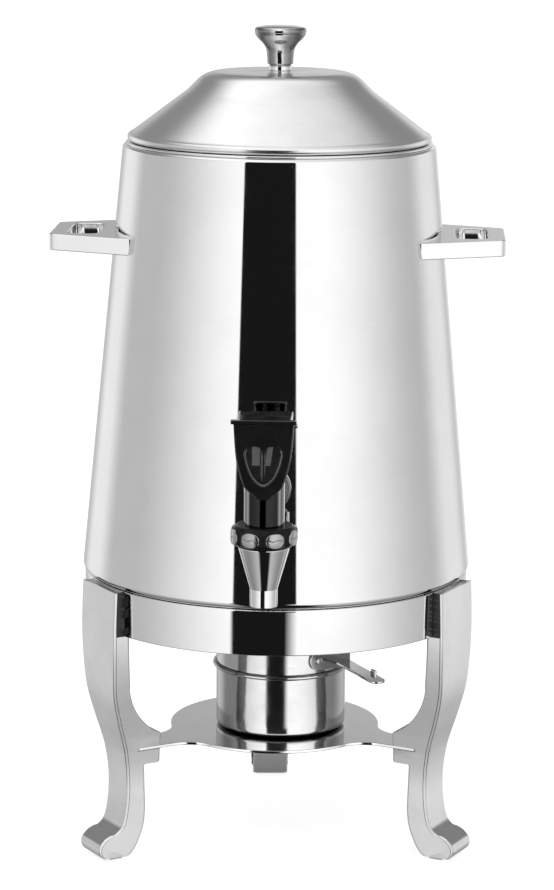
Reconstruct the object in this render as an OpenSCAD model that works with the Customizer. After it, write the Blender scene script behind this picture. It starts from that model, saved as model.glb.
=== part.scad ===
/* Coffee urn on a three-legged stand, heated by a fuel holder on the stand's tray.
   Millimetres, +Z up, origin on the urn's axis at table level, tap towards -Y,
   handles along X. The stand is turned a little under the urn, which only rests in it. */

/* [Stand] */
// Height of the stand's ring above the table
stand_h = 185.5; // [178:0.5:230]
// Set-back of the ring band from the shell's bottom edge
ring_step = 1.6; // [0.6:0.1:4]
// Height of the ring band
ring_h = 30; // [22:1:40]
// Sheet thickness of the ring band
ring_wall = 2; // [1.5:0.1:3]
// Width of the ledge inside the ring's top edge
ledge_w = 8; // [6:0.5:10]
// Turn of the stand under the urn, in degrees
stand_turn = 4; // [-30:0.1:30]
// Angle from the stand's front to each front leg, in degrees
leg_angle = 61; // [52:1:68]
// Width of a leg at the ring
leg_top_w = 46; // [40:1:52]
// Width of a leg at the foot
leg_foot_w = 27; // [22:1:34]
// Radial thickness of a leg
leg_depth = 13.5; // [11:0.5:17]
// Thickness of the strip along a leg's front
leg_face_t = 2.2; // [1.5:0.1:4]
// Set-back of a leg's side faces from the strip's edges
leg_inset = 1.2; // [0.5:0.1:3]
// Thickness of the rubber pad under each foot
pad_t = 1.5; // [1:0.1:3]
// Radius of the screws that hold the legs
leg_screw_r = 2.5; // [2:0.1:3]

/* [Tray] */
// Height of the tray's top face above the table
tray_z = 75; // [70:0.5:85]
// Sheet thickness of the tray
tray_t = 2; // [1.5:0.1:3]
// Radius of the tray's disc
tray_r = 71; // [62:1:76]
// Width of the tray's three arms
tray_arm_w = 26; // [20:1:28]
// Radius of the fillets between disc and arms
tray_fillet_r = 22; // [10:1:30]
// Length of each bracket that holds an arm
bracket_l = 11; // [8:0.5:14]
// Height of each bracket
bracket_h = 21; // [16:1:24]
// Radius of the screws that hold the arms
tray_screw_r = 2; // [1.5:0.1:2.5]

/* [Fuel holder] */
// Outer radius of the cup
cup_r = 44; // [40:0.5:48]
// Height of the cup up to the middle of its bead
cup_h = 42.5; // [36:0.5:46]
// Sheet thickness of the cup and its cover
cup_wall = 0.8; // [0.6:0.1:1.5]
// Radius of the cup's rolled bead
bead_r = 1.6; // [1.2:0.1:2.2]
// Radius of the cup's bottom edge
cup_edge_r = 4; // [2:0.5:6]
// Height of the cover above the bead
cover_h = 17; // [14:0.5:20]
// Depth of the cover's spigot in the cup
spigot_h = 9; // [6:0.5:14]
// Radius of the flame hole
flame_hole_r = 26; // [20:0.5:32]
// Place of the holder to the right of the axis
holder_x = 4; // [0:0.5:6]
// Direction of the cover's rivet, in degrees from the front
rivet_angle = 36; // [20:1:50]
// Width of the cover's strip handle
grip_w = 11; // [8:0.5:12]
// Thickness of the strip handle
grip_t = 1.6; // [1:0.1:2.5]
// Length of the strip handle's free leg
grip_l = 56; // [40:1:60]

/* [Body] */
// Radius of the shell at its base
body_base_r = 130.6; // [128:0.1:134]
// Radius of the shell at its top
body_top_r = 103.5; // [98:0.5:110]
// Height of the shell
body_h = 285.5; // [270:0.5:330]
// Sheet thickness of shell, tank and lid
sheet_t = 1; // [0.8:0.1:1.5]
// Radius of the shell's bottom edge
body_edge_r = 4; // [3:0.5:6]
// Gap between shell and tank
jacket_gap = 5; // [4:0.5:8]
// Drop of the tank's floor below the pieces clamped on the shank
floor_drop = 1; // [0.5:0.5:12]
// Radius of the tank's bottom edge
tank_edge_r = 6; // [3:0.5:10]
// Thickness of the ring at the mouth
mouth_t = 1.8; // [1.2:0.1:3]
// Radius of the heat opening in the base
heat_hole_r = 60; // [45:1:80]
// Depth of the base's spigot in the stand's ring
base_spigot_h = 8; // [5:0.5:12]

/* [Side handles] */
// Distance a handle reaches out from the shell
handle_out = 40.4; // [36:0.2:48]
// Height of a handle's middle above the shell's base
handle_h = 222; // [180:0.5:250]
// Height of the handle's bar
handle_t = 10.8; // [8:0.2:14]
// Half width of a handle at the body
handle_base_w = 55; // [48:0.5:60]
// Half width of a handle at its outer edge
handle_end_w = 34; // [30:0.5:40]
// Width of the outer bar
handle_bar_w = 11.5; // [8:0.5:14]
// Length of the finger opening away from the body
finger_l = 21; // [16:0.5:24]
// Half width of the finger opening
finger_w = 27; // [22:0.5:28]
// Radius of the screws that hold a handle
handle_screw_r = 2; // [1.5:0.1:2.5]

/* [Lid] */
// Radius of the lid over its rolled rim
lid_r = 100.5; // [96:0.5:106]
// Radius of the rolled rim's wire
rim_wire_r = 2.8; // [2:0.1:3.5]
// Height of the lid's middle above the bottom of its rim
lid_h = 46.5; // [38:0.5:52]
// Slope of the lid's cone, in degrees
lid_slope = 37; // [30:1:40]
// Depth of the lid's skirt in the mouth
skirt_h = 7; // [4:0.5:10]
// Clearance between skirt and mouth
skirt_clear = 0.9; // [0.4:0.1:2]

/* [Knob] */
// Radius of the knob's cap
knob_r = 17.1; // [14:0.1:20]
// Height of the knob above its collar
knob_h = 26.5; // [25:0.1:36]
// Radius of the knob's stem
knob_stem_r = 8.6; // [6.5:0.1:9]
// Thickness of the knob's collar
collar_t = 3; // [2:0.1:5]
// Radius of the screw that holds the knob
knob_screw_r = 2.5; // [2:0.1:3]

/* [Tap] */
// Height of the tap's shank above the shell's base
tap_h = 80; // [76:0.5:100]
// Distance from the shell to the barrel's axis
tap_reach = 43; // [40:0.5:52]
// Outer radius of the barrel
barrel_r = 12.65; // [11.5:0.05:13]
// Bore of the barrel
barrel_bore_r = 9; // [8.2:0.1:10]
// Height of the barrel above the shank
barrel_up = 30.5; // [29:0.5:40]
// Drop of the barrel below the shank
barrel_down = 15.3; // [13:0.1:18]
// Height of the grip ring
grip_ring_h = 13.2; // [11:0.1:16]
// Outer radius of the grip ring
grip_ring_r = 21; // [20:0.1:24]
// Number of pads round the grip ring
pad_count = 8; // [6:1:10]
// Radius of the outlet cone at its top
cone_top_r = 16.5; // [14:0.1:18]
// Length of the outlet cone
cone_l = 27.5; // [20:0.5:34]
// Outer radius of the spout
spout_r = 8.7; // [7.5:0.1:10]
// Bore of the spout
spout_bore_r = 6; // [4.5:0.1:6.5]
// Length of the spout below the cone
spout_l = 11.5; // [8:0.5:15]
// Radius of the threaded shank
shank_r = 8; // [7:0.1:9]
// Bore of the shank
shank_bore_r = 5; // [3.5:0.1:5.5]
// Radius of the shank's flange
flange_r = 15; // [13:0.5:17]
// Thickness of the shank's flange
flange_t = 5; // [3:0.5:6]
// Gap between flange and shell, filled by the outer gasket
gasket_gap = 3.5; // [2.5:0.1:4.5]
// Thickness of the shank's nut
nut_t = 8; // [6:0.5:10]

/* [Valve and lever] */
// Height of the bonnet above the barrel
bonnet_h = 9; // [7:0.5:12]
// Height of the lever's pin above the bonnet
pin_up = 6.4; // [6:0.1:9]
// Distance from the stem to the lever's pin
pin_back = 8; // [7:0.1:9]
// Radius of the lever's pin
pin_r = 1.5; // [1.2:0.1:1.6]
// Running clearance round a pin or stem
run_clear = 0.08; // [0.03:0.01:0.1]
// Radius of the valve's stem
stem_r = 2; // [1.6:0.1:2.4]
// Radius of the cross pin in the stem's head
cross_r = 1.25; // [1:0.05:1.4]
// Radius of the silicone seat cup
seat_r = 7.6; // [7:0.1:7.8]
// Height of the seat cup
seat_h = 7; // [6:0.5:8]
// Wire radius of the return spring
wire_r = 0.5; // [0.3:0.05:0.7]
// Turns of the return spring
spring_turns = 6; // [4:1:8]
// Half width of the lever's top flange
lever_flange_w = 20.3; // [20:0.1:24]
// Half width of the lever's shield at its top
shield_w = 18.7; // [18:0.1:20]
// Half width of the lever's shield near its bottom
shield_low_w = 12.5; // [10:0.1:14]
// Height of the lever's shield
shield_h = 47.8; // [42:0.2:50]
// Wall thickness of the lever
lever_wall = 3; // [2.5:0.1:4]
// Gap between barrel and shield
shield_gap = 2.4; // [2:0.1:4]
// Depth of the heart-shaped recess
recess_t = 1; // [0.6:0.1:1.4]

/* [Hidden] */
$fn = 96;
eps = 0.01;
steel = "silver";
dark = [0.06, 0.06, 0.06];
wide = 400;             // longer than any piece, for cuts that go right through
touch = 0.02;           // play between faces that are clamped or welded together

// reaches that follow the shell
ring_r = body_base_r - ring_step;
// heights
ring_z = stand_h - ring_h;
mouth_z = stand_h + body_h;
lid_z = mouth_z + mouth_t;
lid_top_z = lid_z + lid_h;
knob_z = lid_top_z + collar_t;
shank_z = stand_h + tap_h;
barrel_top_z = shank_z + barrel_up;
barrel_low_z = shank_z - barrel_down;
grip_ring_z = barrel_low_z - grip_ring_h;
spout_z = grip_ring_z - cone_l;
outlet_z = spout_z - spout_l;
pin_z = barrel_top_z + bonnet_h + pin_up;
handle_z = stand_h + handle_h;
tank_floor_z = shank_z - (flange_r - 2) - tank_edge_r - floor_drop;

// radius of the shell's outside at height z, and of what stands inside it
function shell_r(z) = body_base_r - (body_base_r - body_top_r) * (z - stand_h) / body_h;
tank_off = sheet_t + jacket_gap;
handle_reach = shell_r(handle_z) + handle_out;
tap_y = -(shell_r(shank_z) + tap_reach);
pin_y = tap_y + pin_back;

// n steps of an arc round (x, y) from angle a to angle b
function arc(x, y, r, a, b, n = 6) =
    [for (i = [0:n]) let (t = a + (b - a) * i / n) [x + r * cos(t), y + r * sin(t)]];

// smooth line through the points of a list, n steps between each pair
function blend(a, b, c, d, t) = 0.5 * ((2 * b) + (c - a) * t + (2 * a - 5 * b + 4 * c - d) * t * t
    + (3 * b - a - 3 * c + d) * t * t * t);
function smooth(p, n = 4) = let (m = len(p) - 1) concat(
    [for (i = [0:m - 1]) for (k = [0:n - 1])
        blend(p[max(i - 1, 0)], p[i], p[i + 1], p[min(i + 2, m)], k / n)], [p[m]]);

// a line moved sideways by d, to its right
function side(p, i) = let (m = len(p) - 1, v = p[min(i + 1, m)] - p[max(i - 1, 0)])
    [v[1], -v[0]] / norm(v);
function beside(p, d) = [for (i = [0:len(p) - 1]) p[i] + d * side(p, i)];
function backwards(p) = [for (i = [len(p) - 1:-1:0]) p[i]];

// solid of the urn's taper between two heights, d inside the shell's outside
module taper(d, low, high)
    translate([0, 0, low])
        cylinder(h = high - low, r1 = shell_r(low) - d, r2 = shell_r(high) - d, $fn = 360);

// a rod along +Y from y0 to y1 at the shank's height
module shank_rod(r, y0, y1, fn = 96)
    translate([0, y0, shank_z]) rotate([-90, 0, 0]) cylinder(h = y1 - y0, r = r, $fn = fn);

// ---- stand ----
leg_turns = [270 - leg_angle + stand_turn, 270 + leg_angle + stand_turn, 90 + stand_turn];
leg_screw_z = [ring_z + ring_h * 0.25, ring_z + ring_h * 0.68];
screw_head_t = 2.2;
screw_grip = 5;         // length of a leg screw inside the leg
sole_r = ring_r - 1.5;  // middle of the foot's sole
sole_w = 9;             // length of the sole along the leg's direction
tongue_end = ring_r - 17;
bracket_in = tongue_end - bracket_l - 5;
slot_clear = 0.1;
tray_screw_x = tongue_end - 5.5 - 1.5 * tray_screw_r;

module on_legs() for (a = leg_turns) rotate([0, 0, a]) children();

// outer line of a leg seen from the side, from the top down to the toe
leg_front = smooth([[ring_r + 6, stand_h - 0.5], [ring_r + 6.9, stand_h * 0.85],
    [ring_r + 6.4, stand_h * 0.71], [ring_r + 4.9, stand_h * 0.61], [ring_r + 0.4, stand_h * 0.51],
    [ring_r - 5.4, stand_h * 0.4], [ring_r - 7.7, stand_h * 0.3], [ring_r - 7.4, stand_h * 0.21],
    [ring_r - 4.9, stand_h * 0.135], [ring_r - 0.6, stand_h * 0.102], [ring_r + 3.6, stand_h * 0.096]]);
leg_toe = concat([[ring_r + 8.2, stand_h * 0.086]],
    arc(ring_r + 6.2, 8.4, 6.8, 45, -60, 7));
// inner line of a leg, from the sole up to the ring
leg_back = smooth([[ring_r + 2, 0], [ring_r - 5.5, 0.2], [ring_r - 11.3, 2.4],
    [ring_r - 16.2, 8.6], [ring_r - 20.9, stand_h * 0.108], [ring_r - 9 - leg_depth, stand_h * 0.17],
    [ring_r - 8.7 - leg_depth, stand_h * 0.25], [ring_r - 7.6 - leg_depth, stand_h * 0.35],
    [ring_r - 4 - leg_depth, stand_h * 0.42], [ring_r + 3.4 - leg_depth, stand_h * 0.54],
    [ring_r + 6 - leg_depth, stand_h * 0.66], [ring_r + 7.8 - leg_depth, stand_h * 0.8],
    [ring_r + 8 - leg_depth, stand_h - 0.5]]);
leg_outline = concat(leg_front, leg_toe, leg_back);
leg_strip = concat(leg_front, leg_toe,
    backwards(beside(concat(leg_front, leg_toe), leg_face_t)));
// half width of a leg at height z
function leg_w(z) = let (t = min(1, max(0, (z / stand_h - 0.25) / 0.6)))
    (leg_foot_w + (leg_top_w - leg_foot_w) * (3 * t * t - 2 * t * t * t)) / 2;
function leg_width_line(d) = let (z = [for (k = [0:12]) stand_h * k / 12]) concat(
    [for (v = z) [leg_w(v) - d, v]], [for (v = backwards(z)) [d - leg_w(v), v]]);

module flat_leg(line) rotate([90, 0, 0]) linear_extrude(height = leg_top_w + 10, center = true)
    polygon(line);
module leg_between(d) rotate([90, 0, 90]) linear_extrude(height = wide) polygon(leg_width_line(d));

// lug that carries the tray, with a rounded rise to the leg above it
module bracket() {
    low = tray_z - tray_t / 2 - bracket_h / 2;
    top = low + bracket_h;
    rise_r = 45;
    rise_x = ring_r + 6.4 - leg_depth - rise_r;
    start = -acos((bracket_in + 1 - rise_x) / rise_r);
    line = concat([[tongue_end + 4, low - 3], [tongue_end - 2, low - 1.5], [tongue_end - 5, low],
        [bracket_in, low], [bracket_in, top]],
        arc(rise_x, top - rise_r * sin(start), rise_r, start, -8, 7),
        [[ring_r - 3, top - rise_r * sin(start) - 8]]);
    rotate([90, 0, 0]) linear_extrude(height = 2 * (leg_w(tray_z) - leg_inset), center = true)
        polygon(line);
}

module leg() {
    difference() {
        union() {
            intersection() { flat_leg(leg_outline); leg_between(leg_inset); }
            intersection() { flat_leg(leg_strip); leg_between(0); }
            bracket();
        }
        // the ring band stands on the leg's ledge
        translate([0, 0, ring_z]) cylinder(h = ring_h + 1, r = ring_r, $fn = 180);
        // level sole
        translate([0, -wide / 2, -wide + pad_t]) cube([wide, wide, wide]);
        // slot for the tray's tongue
        translate([bracket_in - 1, -leg_top_w, tray_z - tray_t - slot_clear])
            cube([tongue_end - bracket_in + 1 + slot_clear, 2 * leg_top_w, tray_t + 2 * slot_clear]);
        translate([tray_screw_x, 0, 0]) cylinder(h = tray_z, r = tray_screw_r, $fn = 48);
        for (z = leg_screw_z) translate([0, 0, z]) rotate([0, 90, 0])
            cylinder(h = ring_r + screw_grip, r = leg_screw_r, $fn = 48);
    }
}

module leg_left() color(steel) rotate([0, 0, leg_turns[0]]) leg();
module leg_right() color(steel) rotate([0, 0, leg_turns[1]]) leg();
module leg_rear() color(steel) rotate([0, 0, leg_turns[2]]) leg();

module stand_ring() {
    inner = ring_r - ring_wall;
    color(steel) difference() {
        rotate_extrude($fn = 180) polygon(concat(
            [[inner, ring_z], [ring_r - 0.5, ring_z], [ring_r, ring_z + 0.5], [ring_r, stand_h - 1]],
            arc(ring_r - 1, stand_h - 1, 1, 15, 90, 4),
            [[inner - ledge_w, stand_h], [inner - ledge_w, stand_h - ring_wall],
             [inner, stand_h - ring_wall]]));
        on_legs() for (z = leg_screw_z) translate([inner - 2, 0, z]) rotate([0, 90, 0])
            cylinder(h = ring_wall + 4, r = leg_screw_r, $fn = 48);
    }
}

module leg_screws() {
    inner = ring_r - ring_wall;
    color(steel) on_legs() for (z = leg_screw_z) translate([0, 0, z]) rotate([0, 90, 0]) {
        translate([0, 0, inner - 1]) cylinder(h = ring_wall + screw_grip + 1, r = leg_screw_r, $fn = 48);
        intersection() {
            translate([0, 0, inner - screw_head_t])
                cylinder(h = screw_head_t + 1, r = 1.8 * leg_screw_r, $fn = 48);
            rotate([0, -90, 0]) translate([0, 0, -ring_h])
                cylinder(h = 2 * ring_h, r = inner - touch, $fn = 180);
        }
    }
}

module foot_pads() color("dimgray") on_legs()
    translate([sole_r - sole_w / 2, 3 - leg_foot_w / 2, 0]) cube([sole_w, leg_foot_w - 6, pad_t]);

function turned(p, a) = [p[0] * cos(a) - p[1] * sin(a), p[0] * sin(a) + p[1] * cos(a)];

// disc with three arms and concave fillets, drawn arm by arm
module fuel_tray() {
    arm = tray_arm_w / 2;
    hub = tray_r + tray_fillet_r;       // distance of a fillet's centre from the axis
    reach = sqrt(pow(hub, 2) - pow(arm + tray_fillet_r, 2));
    open = atan2(arm + tray_fillet_r, reach);
    outline = [for (i = [0:2]) let (a = leg_turns[i], b = leg_turns[(i + 1) % 3] + (i == 1 ? 360 : 0))
        each concat(
            [for (p = concat([[tongue_end, -arm], [tongue_end, arm]],
                arc(reach, arm + tray_fillet_r, tray_fillet_r, -90, open - 180, 8))) turned(p, a)],
            arc(0, 0, tray_r, a + open + 2, b - open - 2, 16),
            [for (p = arc(reach, -arm - tray_fillet_r, tray_fillet_r, 180 - open, 90, 8)) turned(p, b)])];
    color(steel) difference() {
        translate([0, 0, tray_z - tray_t]) linear_extrude(height = tray_t) polygon(outline);
        on_legs() translate([tray_screw_x, 0, 0]) cylinder(h = tray_z + 1, r = tray_screw_r, $fn = 48);
    }
}

module tray_screws() {
    low = tray_z - tray_t / 2 - bracket_h / 2;
    color(steel) on_legs() translate([tray_screw_x, 0, 0]) {
        translate([0, 0, low]) cylinder(h = tray_z - low, r = tray_screw_r, $fn = 48);
        translate([0, 0, low - screw_head_t]) cylinder(h = screw_head_t, r = 1.5 * tray_screw_r, $fn = 48);
    }
}

// ---- fuel holder ----
bead_z = tray_z + cup_h;
cover_low_z = bead_z + bead_r;
cover_top_z = bead_z + cover_h;
rivet_z = bead_z + cover_h * 0.62;
rivet_r = 1.8;
spigot_clear = 0.3;

module at_holder() translate([holder_x, 0, 0]) children();

module fuel_cup() color(steel) at_holder() rotate_extrude($fn = 144) {
    inner = cup_r - cup_wall;
    polygon(concat([[0, tray_z], [cup_r - cup_edge_r, tray_z]],
        arc(cup_r - cup_edge_r, tray_z + cup_edge_r, cup_edge_r, -75, 0, 5),
        [[cup_r, bead_z], [inner, bead_z]],
        arc(cup_r - cup_edge_r, tray_z + cup_edge_r, cup_edge_r - cup_wall, 0, -90, 5),
        [[0, tray_z + cup_wall]]));
    translate([inner + bead_r, bead_z]) circle(r = bead_r, $fn = 32);
}

module cover_cap() {
    inner = cup_r - cup_wall;
    spigot = inner - cup_wall - spigot_clear;
    color(steel) at_holder() difference() {
        rotate_extrude($fn = 144) polygon(concat(
            [[spigot, bead_z - spigot_h], [spigot + cup_wall, bead_z - spigot_h],
             [spigot + cup_wall, cover_low_z], [cup_r, cover_low_z]],
            arc(cup_r - 1, cover_top_z - 1, 1, 0, 90, 4),
            [[flame_hole_r, cover_top_z], [flame_hole_r, cover_top_z - cup_wall],
             [inner, cover_top_z - cup_wall], [inner, cover_low_z + cup_wall],
             [spigot, cover_low_z + cup_wall]]));
        at_rivet() cylinder(h = 6 * rivet_r, r = rivet_r, center = true, $fn = 48);
    }
}

// the rivet's axis points out of the cover's wall
module at_rivet() rotate([0, 0, rivet_angle - 90]) translate([cup_r, 0, rivet_z])
    rotate([0, 90, 0]) children();

module cover_rivet() color(steel) at_holder() at_rivet() {
    translate([0, 0, -cup_wall]) cylinder(h = cup_wall + grip_t, r = rivet_r, $fn = 48);
    translate([0, 0, grip_t]) cylinder(h = 1, r = 1.7 * rivet_r, $fn = 48);
    translate([0, 0, -cup_wall - 1]) cylinder(h = 1, r = 1.7 * rivet_r, $fn = 48);
}

// strip riveted flat on the cover's wall, then folded out and forward as a level handle
module cover_handle() {
    tab_h = cover_h - bead_r - 3;
    tab_z = cover_low_z + 2;
    tab_l = 26;
    level_z = tab_z + 2.5;
    bend_turn = -87;
    color(steel) at_holder() difference() {
        union() {
            rotate([0, 0, rivet_angle - 90]) {
                translate([cup_r, 0, rivet_z]) rotate([0, 90, 0])
                    cylinder(h = grip_t, r = tab_h / 2 + 0.4, $fn = 64);
                translate([cup_r, 0, tab_z]) cube([grip_t, tab_l, tab_h - 1]);
                translate([cup_r, tab_l - grip_w, level_z]) cube([6, grip_w, grip_t]);
                translate([cup_r + grip_t, tab_l - grip_w / 2, level_z]) rotate([0, 0, bend_turn + 78]) {
                    translate([0, -grip_w / 2, 0]) cube([grip_l - grip_w / 2, grip_w, grip_t]);
                    translate([grip_l - grip_w / 2, 0, 0]) cylinder(h = grip_t, r = grip_w / 2, $fn = 64);
                    translate([grip_l * 0.62, grip_w / 2 - 1.4, 0]) cube([5, 1.4, 4.2]);
                }
            }
        }
        at_rivet() cylinder(h = 6 * rivet_r, r = rivet_r, center = true, $fn = 48);
    }
}

// ---- body ----
base_fit = 0.5;         // play of the base's spigot in the stand's ledge
spigot_r = ring_r - ring_wall - ledge_w - base_fit;
shell_in_r = spigot_r + 1;
hole_clear = 0.2;       // play of the shank in its holes

module outer_shell() {
    e = body_edge_r;
    top = 2.5;
    lean = atan((body_base_r - body_top_r) / body_h);
    color(steel) difference() {
        rotate_extrude($fn = 180) polygon(concat(
            [[shell_in_r, stand_h]],
            arc(shell_r(stand_h + e) - e, stand_h + e, e, -90, 0, 6),
            arc(shell_r(mouth_z - top) - top, mouth_z - top, top, 0, 90, 5),
            [[shell_r(mouth_z) - tank_off, mouth_z],
             [shell_r(mouth_z - sheet_t) - tank_off, mouth_z - sheet_t]],
            arc(shell_r(mouth_z - top) - top, mouth_z - top, top - sheet_t, 90, 0, 5),
            arc(shell_r(stand_h + e) - e, stand_h + e, e - sheet_t, 0, -90, 6),
            [[shell_in_r, stand_h + sheet_t]]));
        shank_rod(shank_r + hole_clear, -body_base_r - 10, 0);
        handle_holes([0, 180], 10);
    }
}

module inner_tank() {
    e = tank_edge_r;
    function tank_r(z) = shell_r(z) - tank_off;
    color(steel) difference() {
        rotate_extrude($fn = 180) polygon(concat(
            [[0, tank_floor_z]],
            arc(tank_r(tank_floor_z + e) - e, tank_floor_z + e, e, -90, 0, 6),
            [[tank_r(lid_z), lid_z], [tank_r(lid_z) - sheet_t, lid_z]],
            arc(tank_r(tank_floor_z + e) - e, tank_floor_z + e, e - sheet_t, 0, -90, 6),
            [[0, tank_floor_z + sheet_t]]));
        shank_rod(shank_r + hole_clear, -body_base_r, 0);
    }
}

module mouth_ring() {
    outer = body_top_r - 2;
    color(steel) difference() {
        rotate_extrude($fn = 180) polygon(concat(
            [[outer - 8, mouth_z]],
            arc(outer - mouth_t / 2, mouth_z + mouth_t / 2, mouth_t / 2, -90, 90, 6),
            [[outer - 8, lid_z]]));
        taper(tank_off, mouth_z - 20, lid_z + 10);
    }
}

module base_ring() color(steel) rotate_extrude($fn = 180) {
    low = stand_h - base_spigot_h;
    floor_z = stand_h + sheet_t;
    polygon([[heat_hole_r, low], [spigot_r, low], [spigot_r, floor_z],
        [body_base_r - body_edge_r - 1, floor_z], [body_base_r - body_edge_r - 1, floor_z + sheet_t],
        [spigot_r - sheet_t, floor_z + sheet_t], [spigot_r - sheet_t, low + sheet_t],
        [heat_hole_r + sheet_t, low + sheet_t], [heat_hole_r + sheet_t, low + 5], [heat_hole_r, low + 5]]);
}

// ---- side handles ----
handle_screw_turn = 21;
handle_screw_l = 6;     // length of a handle screw inside the handle

module at_handle_screws(sides = [0, 180])
    for (s = sides) for (a = [-handle_screw_turn, handle_screw_turn])
        rotate([0, 0, s + a]) translate([0, 0, handle_z]) rotate([0, 90, 0]) children();

// holes through the shell that go d deep into what lies outside it
module handle_holes(sides, d) at_handle_screws(sides) translate([0, 0, shell_r(handle_z) - 15])
    cylinder(h = 15 + d, r = handle_screw_r, $fn = 48);

module handle(s) {
    corner = 6;
    bend = atan((handle_base_w - handle_end_w) / (handle_reach - body_top_r));
    half = concat([[0, handle_base_w + 24], [shell_r(handle_z) * 0.86, handle_base_w]],
        backwards(arc(handle_reach - corner, handle_end_w - corner, corner, 0, 90 - bend, 6)));
    hole_out = handle_reach - handle_bar_w;
    round_r = 7;
    color(steel) difference() {
        rotate([0, 0, s]) difference() {
            translate([0, 0, handle_z - handle_t / 2]) linear_extrude(height = handle_t)
                polygon(concat(half, [for (p = backwards(half)) [p[0], -p[1]]]));
            translate([0, 0, handle_z - handle_t]) linear_extrude(height = 2 * handle_t)
                polygon(concat(arc(hole_out - round_r, finger_w - round_r, round_r, 0, 90, 6),
                    arc(hole_out - finger_l + round_r, finger_w - round_r, round_r, 90, 180, 6),
                    arc(hole_out - finger_l + round_r, round_r - finger_w, round_r, 180, 270, 6),
                    arc(hole_out - round_r, round_r - finger_w, round_r, 270, 360, 6)));
        }
        taper(0, handle_z - 2 * handle_t, handle_z + 2 * handle_t);
        handle_holes([s], handle_screw_l);
    }
}
module handle_left() handle(180);
module handle_right() handle(0);

module handle_screws() {
    seat = shell_r(handle_z) - sheet_t;
    color(steel) {
        at_handle_screws() translate([0, 0, seat - 1])
            cylinder(h = 1 + sheet_t + handle_screw_l, r = handle_screw_r, $fn = 48);
        intersection() {
            at_handle_screws() translate([0, 0, seat - screw_head_t])
                cylinder(h = screw_head_t + 2, r = 2 * handle_screw_r, $fn = 48);
            taper(sheet_t + touch, handle_z - 20, handle_z + 20);
        }
    }
}

// ---- lid ----
rim_r = lid_r - rim_wire_r;
lid_play = 0.1;         // height of the rim above its seat
rim_z = lid_z + rim_wire_r + lid_play;
cone_foot = [rim_r + rim_wire_r * 0.2, rim_z + rim_wire_r * 0.9];
lid_bend = 13.6;        // depth at which the cone bends over into the shoulder
shoulder_r = cone_foot[0] - (lid_top_z - lid_bend - cone_foot[1]) / tan(lid_slope);
lid_shift = [0.2, sheet_t * 1.25];          // from the cone's outer line to its inner one
lid_line = concat([cone_foot], smooth([for (p = [[0, lid_bend], [2.7, 11], [5.5, 8.2], [8.2, 5.5],
    [12.1, 2.9], [17.7, 1.1], [24, 0.6], [30, 0.35]]) [shoulder_r - p[0], lid_top_z - p[1]]], 3));

module lid_shell() color(steel) difference() {
    rotate_extrude($fn = 180) {
        polygon(concat(lid_line, [[0, lid_top_z], [0, lid_top_z - sheet_t]],
            [for (p = backwards(lid_line)) p - lid_shift]));
        translate([rim_r, rim_z]) circle(r = rim_wire_r, $fn = 32);
    }
    translate([0, 0, lid_z]) cylinder(h = lid_h + 1, r = knob_screw_r + 0.2, $fn = 48);
}

// upright ring inside the rim that centres the lid in the mouth
module lid_skirt() {
    outer = shell_r(lid_z) - tank_off - sheet_t - skirt_clear;
    inner = rim_r - rim_wire_r - sheet_t;
    under = cone_foot[1] + (cone_foot[0] - inner - sheet_t - lid_shift[0]) * tan(lid_slope)
        - lid_shift[1] - 5 * touch;
    color(steel) rotate_extrude($fn = 180) polygon([[inner, lid_z - skirt_h], [outer, lid_z - skirt_h],
        [outer, lid_z + 0.3], [inner + sheet_t, lid_z + 1], [inner + sheet_t, under], [inner, under]]);
}

module lid_knob() {
    cap_z = knob_z + knob_h;
    color(steel) difference() {
        rotate_extrude($fn = 96) polygon(concat(
            [[0, knob_z], [knob_stem_r - 1.4, knob_z], [knob_stem_r - 1.4, knob_z + 0.8],
             [knob_stem_r, knob_z + 1.4]],
            smooth([[knob_stem_r, knob_z + 3], [knob_stem_r + 0.2, cap_z - 20.1],
                [knob_stem_r + 0.5, cap_z - 17.3], [knob_stem_r + 1.3, cap_z - 14.6],
                [knob_stem_r + 3.2, cap_z - 11.8], [knob_stem_r + 6, cap_z - 9],
                [knob_r - 0.5, cap_z - 6.4]], 3),
            arc(knob_r - 2.4, cap_z - 3.6, 2.4, -30, 75, 6),
            [[knob_r * 0.66, cap_z - 0.5], [knob_r * 0.33, cap_z - 0.15], [0, cap_z]]));
        translate([0, 0, knob_z - 1]) cylinder(h = 16, r = knob_screw_r, $fn = 48);
    }
}

module knob_collar() color(steel) translate([0, 0, lid_top_z]) difference() {
    cylinder(h = collar_t, r1 = knob_stem_r - 1.1, r2 = knob_stem_r - 1.4);
    translate([0, 0, -1]) cylinder(h = collar_t + 2, r = knob_screw_r + 0.2, $fn = 48);
}

washer_t = 1;
module knob_washer() color("dimgray") translate([0, 0, lid_top_z - sheet_t * 1.25 - washer_t]) difference() {
    cylinder(h = washer_t, r = 3 * knob_screw_r);
    translate([0, 0, -1]) cylinder(h = washer_t + 2, r = knob_screw_r + 0.2, $fn = 48);
}

module knob_screw() {
    seat = lid_top_z - sheet_t * 1.25 - washer_t;
    color(steel) {
        translate([0, 0, seat]) cylinder(h = knob_z + 12 - seat, r = knob_screw_r, $fn = 48);
        translate([0, 0, seat - 3]) cylinder(h = 3, r = 2 * knob_screw_r, $fn = 48);
    }
}

// ---- tap ----
flange_back = -(shell_r(shank_z) + gasket_gap);
nut_y = -(shell_r(shank_z) - tank_off - sheet_t) + 3;
thread_l = 7;           // length of the outlet cone's threaded neck in the barrel
seal_gap = 0.15;        // play between a gasket and its wall
collar_fit = 0.25;      // play between grip ring and outlet cone

module at_tap() translate([0, tap_y, 0]) children();

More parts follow.
